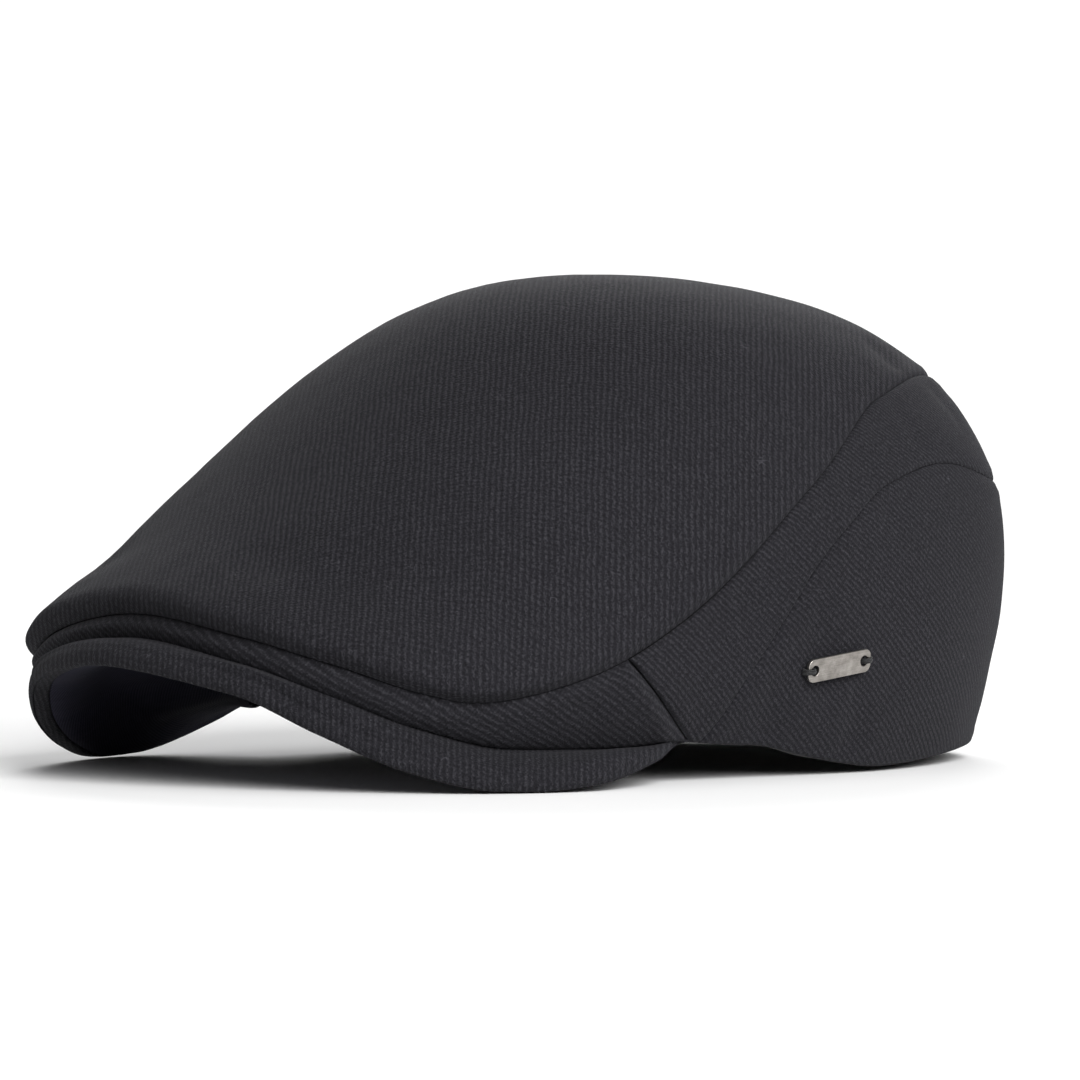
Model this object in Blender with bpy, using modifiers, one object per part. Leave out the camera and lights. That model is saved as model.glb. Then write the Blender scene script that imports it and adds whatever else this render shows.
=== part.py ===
"""Flat cap with a one-piece top, a front band, two-part sides and a short stiffened visor.

Metres, +Z up. The front faces -Y and the wearer's left is +X. The origin is the centre of the
head opening, on the plane the cap rests on.
"""

import bpy
import numpy as np
from mathutils import Matrix, Vector

# ---- sizes of the crown -------------------------------------------------------------------
CROWN_HEIGHT = 0.1247
CROWN_CENTRE_Y = -0.006
HEM_CENTRE_Y = -0.040
HEM_HALF_WIDTH = 0.0830
HEM_FRONT = 0.1085
HEM_BACK = 0.1383
FRONT_ROLL = 0.0044
TEMPLE_LIFT = 0.0080
SAG_DOWN, SAG_OUT = 0.0026, 0.0030

# ---- layers, from the outside in ----------------------------------------------------------
CLOTH = 0.0015
SEAM_GAP = 0.0003
TAPE_DEPTH, TAPE = 0.0019, 0.0005
LINING_DEPTH, LINING = 0.0029, 0.0005
ELASTIC_DEPTH, ELASTIC = 0.0009, 0.0007
BAND_DEPTH, SWEATBAND = 0.0025, 0.0009
SWEATBAND_HEIGHT = 0.031

# ---- visor --------------------------------------------------------------------------------
VISOR_END = 87.5
VISOR_EDGE = 0.0052
VISOR_TIP_EDGE = 0.0029
TOP_COVER, UNDER_COVER = 0.0007, 0.0006
BOARD = 0.0010
BOARD_END = 76.0
RIM_FOOT = 0.0004
OPENING_HALF_WIDTH = 0.0765
OPENING_FRONT = 0.051
OPENING_BACK = 0.131
OPENING_FRONT_HEIGHT = 0.0380

# ---- badge --------------------------------------------------------------------------------
BADGE_LENGTH, BADGE_WIDTH, BADGE_THICKNESS = 0.0212, 0.0058, 0.0008
BADGE_CORNER = 0.0019
BADGE_HOLE = 0.0013
BADGE_ANGLE, BADGE_LEVEL = 108.1, 0.1535
BADGE_TILT = 6.0

# Each curve is given by its height or place at a few angles, in degrees round from the front.
CROWN_SEAM = ((0, 0.0525), (24, 0.0500), (35, 0.055), (47, 0.0585), (56, 0.088), (65, 0.138), (76, 0.222), (95, 0.408),
              (119, 0.563), (145, 0.606), (180, 0.575))
SIDE_SEAM = ((90.6, 0.0), (91.5, 0.12), (94, 0.205), (97.5, 0.285), (104.5, 0.360),
             (113.5, 0.420), (129.5, 0.451), (149.5, 0.418), (180, 0.385))
TEMPLE_SEAM = ((88.8, 0.0), (77.6, 0.088), (68.4, 0.161))
HEM_HEIGHT = ((0, 0.0351), (22, 0.0299), (33, 0.0232), (44, 0.0146), (56, 0.0091), (74, 0.0080), (88, 0.0090),
              (101, 0.0082), (119, 0.0027), (130, 0.0006), (158, 0.0032), (180, 0.0032))
LIP_REACH = ((0, 0.1180), (22, 0.1168), (33, 0.1158), (44, 0.1123), (55, 0.1088), (67, 0.1045),
             (78, 0.0935), (88, 0.0852))
LIP_HEIGHT = ((0, 0.0279), (22, 0.0221), (33, 0.0132), (44, 0.0043), (54, 0.0002), (60, 0.0),
              (68, 0.0013), (78, 0.0046), (88, 0.0055))

CLOTH_BLACK = (0.030, 0.029, 0.034, 1)
SATIN_BLACK = (0.012, 0.012, 0.014, 1)


def start_clean():
    for item in list(bpy.data.objects):
        bpy.data.objects.remove(item)
    home = bpy.data.collections.new("flat_cap")
    tools = bpy.data.collections.new("cutters")
    bpy.context.scene.collection.children.link(home)
    bpy.context.scene.collection.children.link(tools)
    tools.hide_render = True
    return home, tools


def material(name, colour, roughness, metallic=0.0):
    made = bpy.data.materials.new(name)
    made.use_nodes = True
    shader = made.node_tree.nodes["Principled BSDF"]
    shader.inputs["Base Color"].default_value = colour
    shader.inputs["Roughness"].default_value = roughness
    shader.inputs["Metallic"].default_value = metallic
    made.diffuse_color = colour
    return made


# ---- curves and the body surface ----------------------------------------------------------
def ease(t):
    t = np.clip(t, 0, 1)
    return t * t * (3 - 2 * t)


def through(keys, at):
    """A smooth curve through the keys that never overshoots them."""
    x, y = np.array(keys, float).T
    step, slope = np.diff(x), np.diff(y) / np.diff(x)
    bend = np.zeros(len(x))
    flat = slope[1:] * slope[:-1] <= 0
    near, far = 2 * step[1:] + step[:-1], step[1:] + 2 * step[:-1]
    safe = np.where(flat, 1.0, near / np.where(flat, 1, slope[:-1]) + far / np.where(flat, 1, slope[1:]))
    bend[1:-1] = np.where(flat, 0, (near + far) / safe)
    bend[0], bend[-1] = (0.0, 0.0) if flat.any() else (slope[0], slope[-1])
    at = np.clip(np.asarray(at, float), x[0], x[-1])
    i = np.clip(np.searchsorted(x, at) - 1, 0, len(step) - 1)
    t = (at - x[i]) / step[i]
    return (y[i] * (1 + 2 * t) * (1 - t) ** 2 + y[i + 1] * t * t * (3 - 2 * t)
            + step[i] * (bend[i] * t * (1 - t) ** 2 - bend[i + 1] * t * t * (1 - t)))


def plan(angle, half, front, back, front_power, back_power, centre):
    """A rounded outline in plan: its front and back halves meet at the widest place."""
    turn = np.radians(angle)
    side, along = np.sin(turn), -np.cos(turn)
    reach = np.where(along < 0, front, back)
    power = np.where(along < 0, front_power, back_power)
    radius = (np.abs(side / half) ** power + np.abs(along / reach) ** power) ** (-1 / power)
    return radius * side, radius * along + centre


def from_front(angle):
    """The same angle measured from the front, whichever way round."""
    return np.abs((np.asarray(angle, float) + 180) % 360 - 180)


def hem_height(angle):
    return through(HEM_HEIGHT, from_front(angle))


def opening_height(angle):
    a = from_front(angle)
    sides = hem_height(np.maximum(a, 90))
    return sides + (OPENING_FRONT_HEIGHT - hem_height(90)) * np.where(a < 90, np.cos(np.radians(a)) ** 2, 0)


def rise(angle, front, side, back):
    along = -np.cos(np.radians(angle))
    return side + (np.where(along < 0, front, back) - side) * along ** 2


def blend(rings, level):
    weight = (1, 4, 6, 4, 1)
    return sum((weight[i] * level ** i * (1 - level) ** (4 - i))[..., None] * ring
               for i, ring in enumerate(rings))


def ring(angle, outline, height):
    x, y = plan(angle, *outline)
    return np.stack([x, y, height + 0 * x], -1)


def body(angle, level):
    """Outer face of the crown: angle round from the front, level 0 at the hem and 1 at the top."""
    angle, level = np.broadcast_arrays(np.asarray(angle, float), np.asarray(level, float))
    top = CROWN_HEIGHT
    rings = (
        ring(angle, (HEM_HALF_WIDTH, HEM_FRONT, HEM_BACK, 3.4, 2.35, HEM_CENTRE_Y), hem_height(angle)),
        ring(angle, (0.1000, 0.1120, 0.1290, 3.0, 2.2, -0.025), rise(angle, 0.060, 0.0335, 0.041)),
        ring(angle, (0.0970, 0.0700, 0.1420, 2.3, 2.1, -0.005), rise(angle, 0.085, 0.0950, 0.097)),
        ring(angle, (0.0600, 0.0730, 0.0750, 2.0, 2.0, CROWN_CENTRE_Y), top),
        ring(angle, (1e-9, 1e-9, 1e-9, 2.0, 2.0, CROWN_CENTRE_Y), top),
    )
    roll = (FRONT_ROLL * np.exp(-((level - 0.12) / 0.07) ** 2) * ease(level / 0.06)
            * (1 - ease((from_front(angle) - 50) / 45)))
    turn = np.radians(angle)
    return blend(rings, level) + roll[..., None] * np.stack([np.sin(turn), -np.cos(turn), 0 * turn], -1)


def lining_body(angle, level):
    """Outer face of the lining: it leaves the crown at the front and comes down to the visor."""
    angle, level = np.broadcast_arrays(np.asarray(angle, float), np.asarray(level, float))
    d = LINING_DEPTH
    inset = d + LINING + BAND_DEPTH + SWEATBAND - 0.0055
    rings = (
        ring(angle, (OPENING_HALF_WIDTH + 0.0035 - inset, OPENING_FRONT + 0.0035, OPENING_BACK + 0.0035,
                     2.0, 2.35, HEM_CENTRE_Y), opening_height(angle) + 0.0008),
        ring(angle, (0.1000 - d, 0.0740, 0.1290 - d, 2.2, 2.2, -0.025), rise(angle, 0.068, 0.0335, 0.041)),
        ring(angle, (0.0970 - d, 0.0640, 0.1420 - d, 2.2, 2.1, -0.005), rise(angle, 0.083, 0.0925, 0.0945)),
        ring(angle, (0.0600 - d, 0.0700, 0.0750 - d, 2.0, 2.0, CROWN_CENTRE_Y), CROWN_HEIGHT - d - 0.0005),
        ring(angle, (1e-9, 1e-9, 1e-9, 2.0, 2.0, CROWN_CENTRE_Y), CROWN_HEIGHT - d - 0.0005),
    )
    return blend(rings, level)


def normals(surface, angle, level):
    e = 1e-4
    round_step = surface(angle + 100 * e, level) - surface(angle - 100 * e, level)
    up_step = surface(angle, np.minimum(level + e, 1)) - surface(angle, np.maximum(level - e, 0))
    n = np.cross(round_step, up_step)
    return n / np.maximum(np.linalg.norm(n, axis=-1), 1e-15)[..., None], round_step, up_step


def inside(surface, angle, level, depth):
    angle, level = np.broadcast_arrays(np.asarray(angle, float), np.asarray(level, float))
    return surface(angle, level) - depth * normals(surface, angle, level)[0]


def shifted(curve, distance):
    """The curve of (angle, level) moved sideways over the body, to the left of its direction."""
    angle, level = curve.T
    along = np.gradient(body(angle, level), axis=0)
    normal, round_step, up_step = normals(body, angle, level)
    sideways = np.cross(normal, along)
    sideways /= np.linalg.norm(sideways, axis=1)[:, None]
    e = 1e-4
    grid = np.stack([round_step / (200 * e), up_step / (2 * e)], -1)
    move = np.einsum("nij,nj->ni", np.linalg.pinv(grid), sideways * distance)
    return curve + move


def spread(curve, count):
    """The curve of (angle, level) cut into equal lengths."""
    lengths = np.linalg.norm(np.diff(body(*curve.T), axis=0), axis=1)
    run = np.concatenate([[0], np.cumsum(lengths)])
    at = np.linspace(0, run[-1], count + 1)
    return np.stack([np.interp(at, run, curve[:, 0]), np.interp(at, run, curve[:, 1])], -1)


def fill(bottom, top, left, right):
    """Grid of (angle, level) that fills the four curves between them."""
    u = np.linspace(0, 1, len(bottom))[:, None, None]
    w = np.linspace(0, 1, len(left))[None, :, None]
    ruled = (1 - w) * bottom[:, None] + w * top[:, None] + (1 - u) * left[None] + u * right[None]
    corners = ((1 - u) * (1 - w) * bottom[0] + u * (1 - w) * bottom[-1]
               + (1 - u) * w * top[0] + u * w * top[-1])
    return ruled - corners


# ---- how the soft cap lies ------------------------------------------------------------------
def settled(points):
    """The points as the cap lies in the photo, a little unevenly: on the wearer's right its
    temple stands up off the floor, and at the front right the cloth sags over the visor."""
    x, y, z = np.moveaxis(np.asarray(points, float), -1, 0)
    turn = np.degrees(np.arctan2(x, HEM_CENTRE_Y - y))
    away = ease((np.hypot(x, y - HEM_CENTRE_Y) - 0.030) / 0.030) * (x < 0)
    lift = TEMPLE_LIFT * away * np.exp(-((turn + 84) / 14) ** 2) * (1 - ease(z / 0.070))
    sag = away * np.exp(-((turn + 36) / 12) ** 2) * ease((z - 0.014) / 0.020) * (1 - ease((z - 0.036) / 0.040))
    out = SAG_OUT * sag
    heading = np.radians(turn)
    return np.stack([x + out * np.sin(heading), y - out * np.cos(heading), z + lift - SAG_DOWN * sag], -1)


# ---- from grids to objects ----------------------------------------------------------------
def sheet(name, points, finish, thickness, home, closed=False):
    """A grid laid over the given points and thickened inwards from them."""
    across, up = points.shape[:2]
    bpy.ops.mesh.primitive_grid_add(x_subdivisions=across - 1, y_subdivisions=up - 1, size=1)
    made = bpy.context.object
    order = settled(points).transpose(1, 0, 2).reshape(-1, 3)
    made.data.vertices.foreach_set("co", order.ravel())
    made.data.update()
    middle = np.array([0, -0.02, 0.03])
    out = sum(face.normal.dot(face.center - Vector(middle)) * face.area for face in made.data.polygons)
    if out < 0:
        made.data.flip_normals()
    if closed:
        weld = made.modifiers.new("close the ring", "WELD")
        weld.merge_threshold = 1e-5
    return thicken(made, name, finish, thickness, home)


def thicken(made, name, finish, thickness, home):
    solid = made.modifiers.new("thickness", "SOLIDIFY")
    solid.thickness = thickness
    solid.offset = -1
    solid.use_even_offset = True
    return keep(made, name, finish, home)


def keep(made, name, finish, home):
    made.name = made.data.name = name
    for old in list(made.users_collection):
        old.objects.unlink(made)
    home.objects.link(made)
    made.data.materials.clear()
    made.data.materials.append(finish)
    return made


def mirrored(points):
    return points * np.array([-1, 1, 1])


def crown_panels(home):
    back = 180 - 0.17
    ends = np.linspace(0, 180, 241)
    crown_seam = np.stack([ends, through(CROWN_SEAM, ends)], -1)
    under_seam = shifted(crown_seam, -SEAM_GAP)
    over_seam = shifted(crown_seam, SEAM_GAP)
    below = lambda a: np.interp(np.abs(a), under_seam[:, 0], under_seam[:, 1])
    above = lambda a: np.interp(np.abs(a), over_seam[:, 0], over_seam[:, 1])

    temple = np.array(TEMPLE_SEAM)
    levels = np.linspace(0, 1, 21) * temple[-1, 1]
    temple_seam = np.stack([np.interp(levels, temple[:, 1], temple[:, 0]), levels], -1)
    ahead, behind = shifted(temple_seam, SEAM_GAP), shifted(temple_seam, -SEAM_GAP)

    side = np.array(SIDE_SEAM)
    steep = np.linspace(0, 0.285, 30)
    knee = np.stack([np.interp(steep, side[:4, 1], side[:4, 0]), steep], -1)
    rest = np.linspace(97.5, 180, 90)[1:]
    side_seam = np.vstack([knee, np.stack([rest, through(SIDE_SEAM, rest)], -1)])
    side_above, side_below = shifted(side_seam, SEAM_GAP), shifted(side_seam, -SEAM_GAP)

    def until_back(curve):
        kept = curve[curve[:, 0] < back]
        last = np.interp(back, curve[-6:, 0], curve[-6:, 1])
        return np.vstack([kept, [back, last]])

    # Front band: between the visor and the top panel, from temple to temple.
    ahead[:, 1] = np.clip(ahead[:, 1], 0, None)
    ahead[0, 1] = 0
    ahead[-1, 1] = below(ahead[-1, 0])
    reach = np.linspace(-1, 1, 121)
    bottom = np.stack([reach * ahead[0, 0], 0 * reach], -1)
    top = np.stack([reach * ahead[-1, 0], below(reach * ahead[-1, 0])], -1)
    left = spread(ahead * [-1, 1], 4)
    right = spread(ahead, 4)
    points = body(*np.moveaxis(fill(spread(bottom, 40), spread(top, 40), left, right), -1, 0))
    sheet("front_band", points, material("band_twill", CLOTH_BLACK, 0.9), CLOTH, home)

    # Upper side panels: a crescent from the temple to the centre back.
    behind[0, 1] = 0
    behind[-1, 1] = below(behind[-1, 0])
    run = np.linspace(behind[-1, 0], back, 121)
    top = np.stack([run, below(run)], -1)
    lower = until_back(side_above)
    lower[0, 1] = 0
    bottom = np.vstack([behind[0], lower])
    right = np.stack([[back] * 2, [lower[-1, 1], top[-1, 1]]], -1)
    grid = fill(spread(bottom, 24), spread(top, 24), spread(behind, 7), spread(right, 7))
    upper_points = body(*np.moveaxis(grid, -1, 0))

    # Lower side panels: between the hem and the side seam.
    lower = until_back(side_below)
    lower[0, 1] = 0
    corner = int(np.argmin(np.abs(lower[:, 1] - 0.27)[:40]))
    run = np.linspace(lower[0, 0], back, 121)
    bottom = np.stack([run, 0 * run], -1)
    right = np.stack([[back] * 2, [0, lower[-1, 1]]], -1)
    grid = fill(spread(bottom, 18), spread(lower[corner:], 18), spread(lower[:corner + 1], 8),
                spread(right, 8))
    lower_points = body(*np.moveaxis(grid, -1, 0))

    for where, turn in (("left", lambda p: p), ("right", mirrored)):
        finish = material("upper_side_twill_" + where, CLOTH_BLACK, 0.9)
        sheet("side_panel_upper_" + where, turn(upper_points), finish, CLOTH, home)
        finish = material("lower_side_twill_" + where, CLOTH_BLACK, 0.9)
        sheet("side_panel_lower_" + where, turn(lower_points), finish, CLOTH, home)

    # Top panel: one piece, from the front band over the crown to the back.
    points = disc(body, above, 24)
    sheet("top_panel", points, material("top_twill", CLOTH_BLACK, 0.9), CLOTH, home)


def disc(surface, edge, count):
    """Grid over everything above the level edge(angle), without a pole at the top."""
    x, y = np.meshgrid(np.linspace(-1, 1, count + 1), np.linspace(-1, 1, count + 1), indexing="ij")
    across, along = x * np.sqrt(1 - y * y / 2), y * np.sqrt(1 - x * x / 2)
    angle = np.degrees(np.arctan2(across, -along))
    distance = 1 - (1 - np.minimum(np.hypot(across, along), 1)) ** 1.3
    return surface(angle, 1 - distance * (1 - edge(angle)))


# ---- visor --------------------------------------------------------------------------------
def visor_section(angle):
    """Plan reach of the inner edge, the hem line and the lip, with the edge thickness there."""
    a = np.abs(angle)
    inner = np.hypot(*(np.array(plan(a, OPENING_HALF_WIDTH, OPENING_FRONT, OPENING_BACK, 2.0, 2.35, 0))))
    hem = np.hypot(*(np.array(plan(a, HEM_HALF_WIDTH, HEM_FRONT, HEM_BACK, 3.4, 2.35, 0))))
    lip = through(LIP_REACH, a)
    edge = VISOR_EDGE + (VISOR_TIP_EDGE - VISOR_EDGE) * ease((a - 66) / 21.5)
    return inner, hem, lip, edge


def visor_point(angle, reach, drop):
    """A point of the visor at a plan reach from the hem centre, drop below its upper face."""
    inner, hem, lip, edge = visor_section(angle)
    a = np.abs(angle)
    z_inner = opening_height(a) - 0.0008
    z_hem = hem_height(a) - 0.0009
    z_lip = np.minimum(through(LIP_HEIGHT, a) + edge, z_hem + 0.0001)
    t = np.clip((reach - inner) / (hem - inner), 0, 1)
    s = np.clip((reach - hem) / np.maximum(lip - hem, 1e-4), 0, 1)
    dome = 0.0018 * np.sin(np.pi * t) * np.cos(np.radians(a * 90 / 88))
    z = z_inner + (z_hem - z_inner) * t + dome + (z_lip - z_hem) * s - drop
    turn = np.radians(angle)
    return np.stack([reach * np.sin(turn), HEM_CENTRE_Y - reach * np.cos(turn), z], -1)


def visor(home):
    turns = np.linspace(-VISOR_END, VISOR_END, 51)
    angles = turns
    inner, hem, lip, edge = visor_section(angles)
    rows = [visor_point(angles, inner + (hem - inner) * t, 0) for t in (0, 0.35, 0.7, 1.0)]
    rows.append(visor_point(angles, (hem + lip) / 2, 0))
    rows.append(visor_point(angles, lip - 0.0010, 0))
    rows.append(visor_point(angles, lip, 0.0009))
    rows.append(visor_point(angles, lip, edge))
    sheet("visor_top_cover", np.stack(rows, 1), material("visor_twill", CLOTH_BLACK, 0.9), TOP_COVER, home)

    for name, end, layer, set_back, finish in (
        ("visor_board", BOARD_END, BOARD, 0.0012, material("visor_board", (0.02, 0.02, 0.02, 1), 0.5)),
        ("visor_under_cover", VISOR_END, UNDER_COVER, 0.0, material("visor_lining", SATIN_BLACK, 0.5)),
    ):
        angles = turns[np.abs(turns) <= end]
        inner, hem, lip, edge = visor_section(angles)
        drop = edge - RIM_FOOT - UNDER_COVER
        if layer == BOARD:
            drop = TOP_COVER + (drop - TOP_COVER - BOARD) * 0.50
        rim = lip - 0.0014
        stops = [inner + set_back + (hem - inner - set_back) * t for t in (0, 0.33, 0.67)]
        bend = np.minimum(hem, rim - 0.001)
        stops += [bend, (bend + rim) / 2, rim]
        points = np.stack([visor_point(angles, stop, drop) for stop in stops], 1)
        made = sheet(name, points, finish, layer, home)
        made.modifiers["thickness"].use_even_offset = False


# ---- inside -------------------------------------------------------------------------------
def levels_at(angle, lengths):
    """Levels on the lining at these lengths up from its lower edge, for each angle."""
    steps = np.linspace(0, 1, 161)
    path = lining_body(angle[:, None], steps[None])
    run = np.linalg.norm(np.diff(path, axis=1), axis=-1).cumsum(axis=1)
    run = np.concatenate([np.zeros((len(angle), 1)), run], 1)
    return np.array([np.interp(lengths, line, steps) for line in run])


def strip(name, start, end, across, low, high, up, depth, thickness, finish, home, closed=False):
    angle = np.linspace(start, end, across + 1)
    level = levels_at(angle, np.linspace(low, high, up + 1))
    points = inside(lining_body, np.repeat(angle[:, None], up + 1, 1), level, depth)
    return sheet(name, points, finish, thickness, home, closed)


def inner_parts(home):
    satin = lambda name: material(name, SATIN_BLACK, 0.4)
    level = lambda a: 0.50 + 0 * a
    sheet("lining_top", disc(lining_body, lambda a: level(a) + 0.003, 14), satin("lining_satin_top"),
          LINING, home)
    across = np.linspace(0.3, 179.7, 31)
    rows = np.linspace(0, 1, 8)
    points = lining_body(across[:, None], rows[None] * (level(across)[:, None] - 0.003))
    for where, turn in (("left", lambda p: p), ("right", mirrored)):
        sheet("lining_side_" + where, turn(points), satin("lining_satin_" + where), LINING, home)

    strip("sweatband", -180, 180, 48, 0.0, SWEATBAND_HEIGHT, 3, LINING + BAND_DEPTH, SWEATBAND,
          material("sweatband_twill", (0.02, 0.02, 0.022, 1), 0.8), home, closed=True)
    strip("elastic_insert", 146, 214, 14, 0.004, 0.026, 2, LINING + ELASTIC_DEPTH, ELASTIC,
          material("elastic_webbing", (0.03, 0.03, 0.03, 1), 0.8), home)

    heights = np.linspace(0.03, 0.54, 12)
    angle = np.array([176.6, 180.0, 183.4])
    points = inside(body, angle[:, None], heights[None], TAPE_DEPTH)
    sheet("back_seam_tape", points, material("seam_tape", SATIN_BLACK, 0.6), TAPE, home)

    low, high = 0.520, 0.625
    angle = np.linspace(166, 194, 5)
    points = inside(lining_body, angle[:, None], np.linspace(low, high, 4)[None], LINING + ELASTIC_DEPTH)
    sheet("lining_label", points, material("label_weave", (0.16, 0.16, 0.17, 1), 0.6), 0.0005, home)
    strip("care_label", 118, 125, 3, 0.0345, 0.0585, 3, LINING + ELASTIC_DEPTH, 0.0003,
          material("care_tape", (0.7, 0.7, 0.68, 1), 0.6), home)


# ---- badge --------------------------------------------------------------------------------
def badge(home, tools):
    centre = body(BADGE_ANGLE, BADGE_LEVEL)
    normal = normals(body, np.array(BADGE_ANGLE), np.array(BADGE_LEVEL))[0]
    out = Vector(normal)
    along = Vector((0, 1, 0))
    along = (along - along.dot(out) * out).normalized()
    up = out.cross(along)
    if up.z < 0:
        up = -up
    along = (Matrix.Rotation(np.radians(BADGE_TILT), 3, along.cross(up)) @ along).normalized()
    up = out.cross(along) if out.cross(along).z > 0 else along.cross(out)
    stand_off = 0.0009
    frame = Matrix.Identity(4)
    for column, axis in enumerate((along, up, along.cross(up))):
        frame.col[column][:3] = axis
    outward = 1 if along.cross(up).dot(out) > 0 else -1
    frame.translation = Vector(centre) + out * (stand_off + BADGE_THICKNESS / 2)

    bpy.ops.mesh.primitive_cube_add(size=1)
    plate = bpy.context.object
    plate.scale = (BADGE_LENGTH, BADGE_WIDTH, BADGE_THICKNESS)
    bpy.ops.object.transform_apply(location=False, rotation=False, scale=True)
    weights = plate.data.attributes.new("bevel_weight_edge", "FLOAT", "EDGE")
    for edge in plate.data.edges:
        a, b = (plate.data.vertices[i].co for i in edge.vertices)
        weights.data[edge.index].value = 1.0 if abs(a.z - b.z) > 1e-5 else 0.0
    corners = plate.modifiers.new("corners", "BEVEL")
    corners.width = BADGE_CORNER
    corners.segments = 4
    corners.limit_method = "WEIGHT"
    for where, sign in (("front", -1), ("rear", 1)):
        at = sign * (BADGE_LENGTH / 2 - 0.0022)
        bpy.ops.mesh.primitive_cylinder_add(vertices=16, radius=BADGE_HOLE, depth=0.004, location=(0, 0, 0))
        cutter = keep(bpy.context.object, "badge_hole_" + where, material("cutter_" + where, (1, 0, 0, 1), 1),
                      tools)
        cutter.matrix_world = frame @ Matrix.Translation((at, 0, 0))
        cutter.hide_render = True
        cutter.display_type = "WIRE"
        hole = plate.modifiers.new("hole " + where, "BOOLEAN")
        hole.object = cutter
        hole.solver = "EXACT"
        thread(home, where, frame, at, sign, outward)
    plate.matrix_world = frame
    keep(plate, "badge_plate", material("badge_metal", (0.62, 0.60, 0.56, 1), 0.35, 1.0), home)


def thread(home, where, frame, at, sign, outward):
    """A short stitch out of the hole, over the end of the plate and back to the cloth."""
    curve = bpy.data.curves.new("badge_thread_" + where, "CURVE")
    curve.dimensions = "3D"
    curve.bevel_depth = 0.00034
    curve.bevel_resolution = 1
    curve.resolution_u = 3
    curve.use_fill_caps = True
    half = BADGE_THICKNESS / 2
    edge = BADGE_LENGTH / 2 * sign
    line = curve.splines.new("BEZIER")
    path = ((at, -half - 0.00005), (at + sign * 0.0001, half + 0.0007), (edge - sign * 0.0006, half + 0.00085),
            (edge + sign * 0.00075, half - 0.0001), (edge + sign * 0.00095, -half - 0.0001))
    line.bezier_points.add(len(path) - 1)
    for point, (x, z) in zip(line.bezier_points, path):
        point.co = (x, 0, z * outward)
        point.handle_left_type = point.handle_right_type = "AUTO"
    made = bpy.data.objects.new("badge_thread_" + where, curve)
    made.matrix_world = frame
    curve.materials.append(material("stitch_" + where, (0.01, 0.01, 0.01, 1), 0.7))
    home.objects.link(made)


def main():
    home, tools = start_clean()
    crown_panels(home)
    visor(home)
    inner_parts(home)
    badge(home, tools)


main()
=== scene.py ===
"""Looks of a flat newsboy cap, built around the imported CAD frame.

Metres, +Z up. The front faces -Y and the wearer's left is +X. Each cloth panel is its own padded
sheet over the body surface that the CAD solids follow, with its edges rolled into the seams.
"""

import bpy
import numpy as np
from mathutils import Matrix, Vector


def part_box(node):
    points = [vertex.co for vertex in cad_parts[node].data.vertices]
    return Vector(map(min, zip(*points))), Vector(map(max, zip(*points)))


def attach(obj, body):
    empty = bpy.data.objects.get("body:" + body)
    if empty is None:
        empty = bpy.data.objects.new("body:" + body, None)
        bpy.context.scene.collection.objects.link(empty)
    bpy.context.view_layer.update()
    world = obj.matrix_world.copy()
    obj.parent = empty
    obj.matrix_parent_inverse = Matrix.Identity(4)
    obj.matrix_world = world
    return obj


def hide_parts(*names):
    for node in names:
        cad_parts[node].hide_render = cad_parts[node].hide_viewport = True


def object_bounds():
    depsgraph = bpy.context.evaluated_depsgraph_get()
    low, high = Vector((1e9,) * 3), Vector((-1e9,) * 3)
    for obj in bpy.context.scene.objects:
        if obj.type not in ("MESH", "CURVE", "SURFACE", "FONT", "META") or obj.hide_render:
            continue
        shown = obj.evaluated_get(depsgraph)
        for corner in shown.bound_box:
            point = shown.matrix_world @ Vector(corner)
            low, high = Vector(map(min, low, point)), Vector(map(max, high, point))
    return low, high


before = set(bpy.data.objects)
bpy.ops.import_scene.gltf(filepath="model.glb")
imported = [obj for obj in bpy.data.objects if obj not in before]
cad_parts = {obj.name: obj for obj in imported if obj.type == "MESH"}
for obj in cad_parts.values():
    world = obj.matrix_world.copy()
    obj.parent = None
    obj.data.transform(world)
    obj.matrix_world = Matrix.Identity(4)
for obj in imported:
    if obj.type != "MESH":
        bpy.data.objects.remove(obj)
CAD_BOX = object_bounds()

# ---- sizes of the cap, as in the CAD ---------------------------------------------------------
CROWN_HEIGHT = 0.1247
CROWN_CENTRE_Y, HEM_CENTRE_Y = -0.006, -0.040
HEM_OUTLINE = 0.0830, 0.1085, 0.1383, 3.4, 2.35   # half width, front, back and their two powers
FRONT_ROLL = 0.0044
TEMPLE_LIFT = 0.0080
SAG_DOWN, SAG_OUT = 0.0026, 0.0025

# Depths under the outer face, and thicknesses.
TAPE_DEPTH, TAPE = 0.0019, 0.0005
LINING_DEPTH, LINING = 0.0029, 0.0005
ELASTIC_DEPTH, ELASTIC = 0.0009, 0.0007
BAND_DEPTH, SWEATBAND, SWEATBAND_HEIGHT = 0.0025, 0.0009, 0.031

VISOR_EDGE, VISOR_TIP_EDGE = 0.0052, 0.0029
VISOR_TIP, BOARD_END, UNDER_END = 89.0, 76.0, 87.8
OPENING_HALF_WIDTH, OPENING_FRONT, OPENING_BACK = 0.0765, 0.051, 0.131
OPENING_FRONT_HEIGHT = 0.0380

BADGE_LENGTH, BADGE_WIDTH, BADGE_THICKNESS = 0.0212, 0.0058, 0.0008
BADGE_CORNER, BADGE_HOLE, BADGE_HOLE_INSET = 0.0019, 0.0013, 0.0022
BADGE_ANGLE, BADGE_LEVEL, BADGE_TILT = 108.1, 0.1535, 6.0

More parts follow.
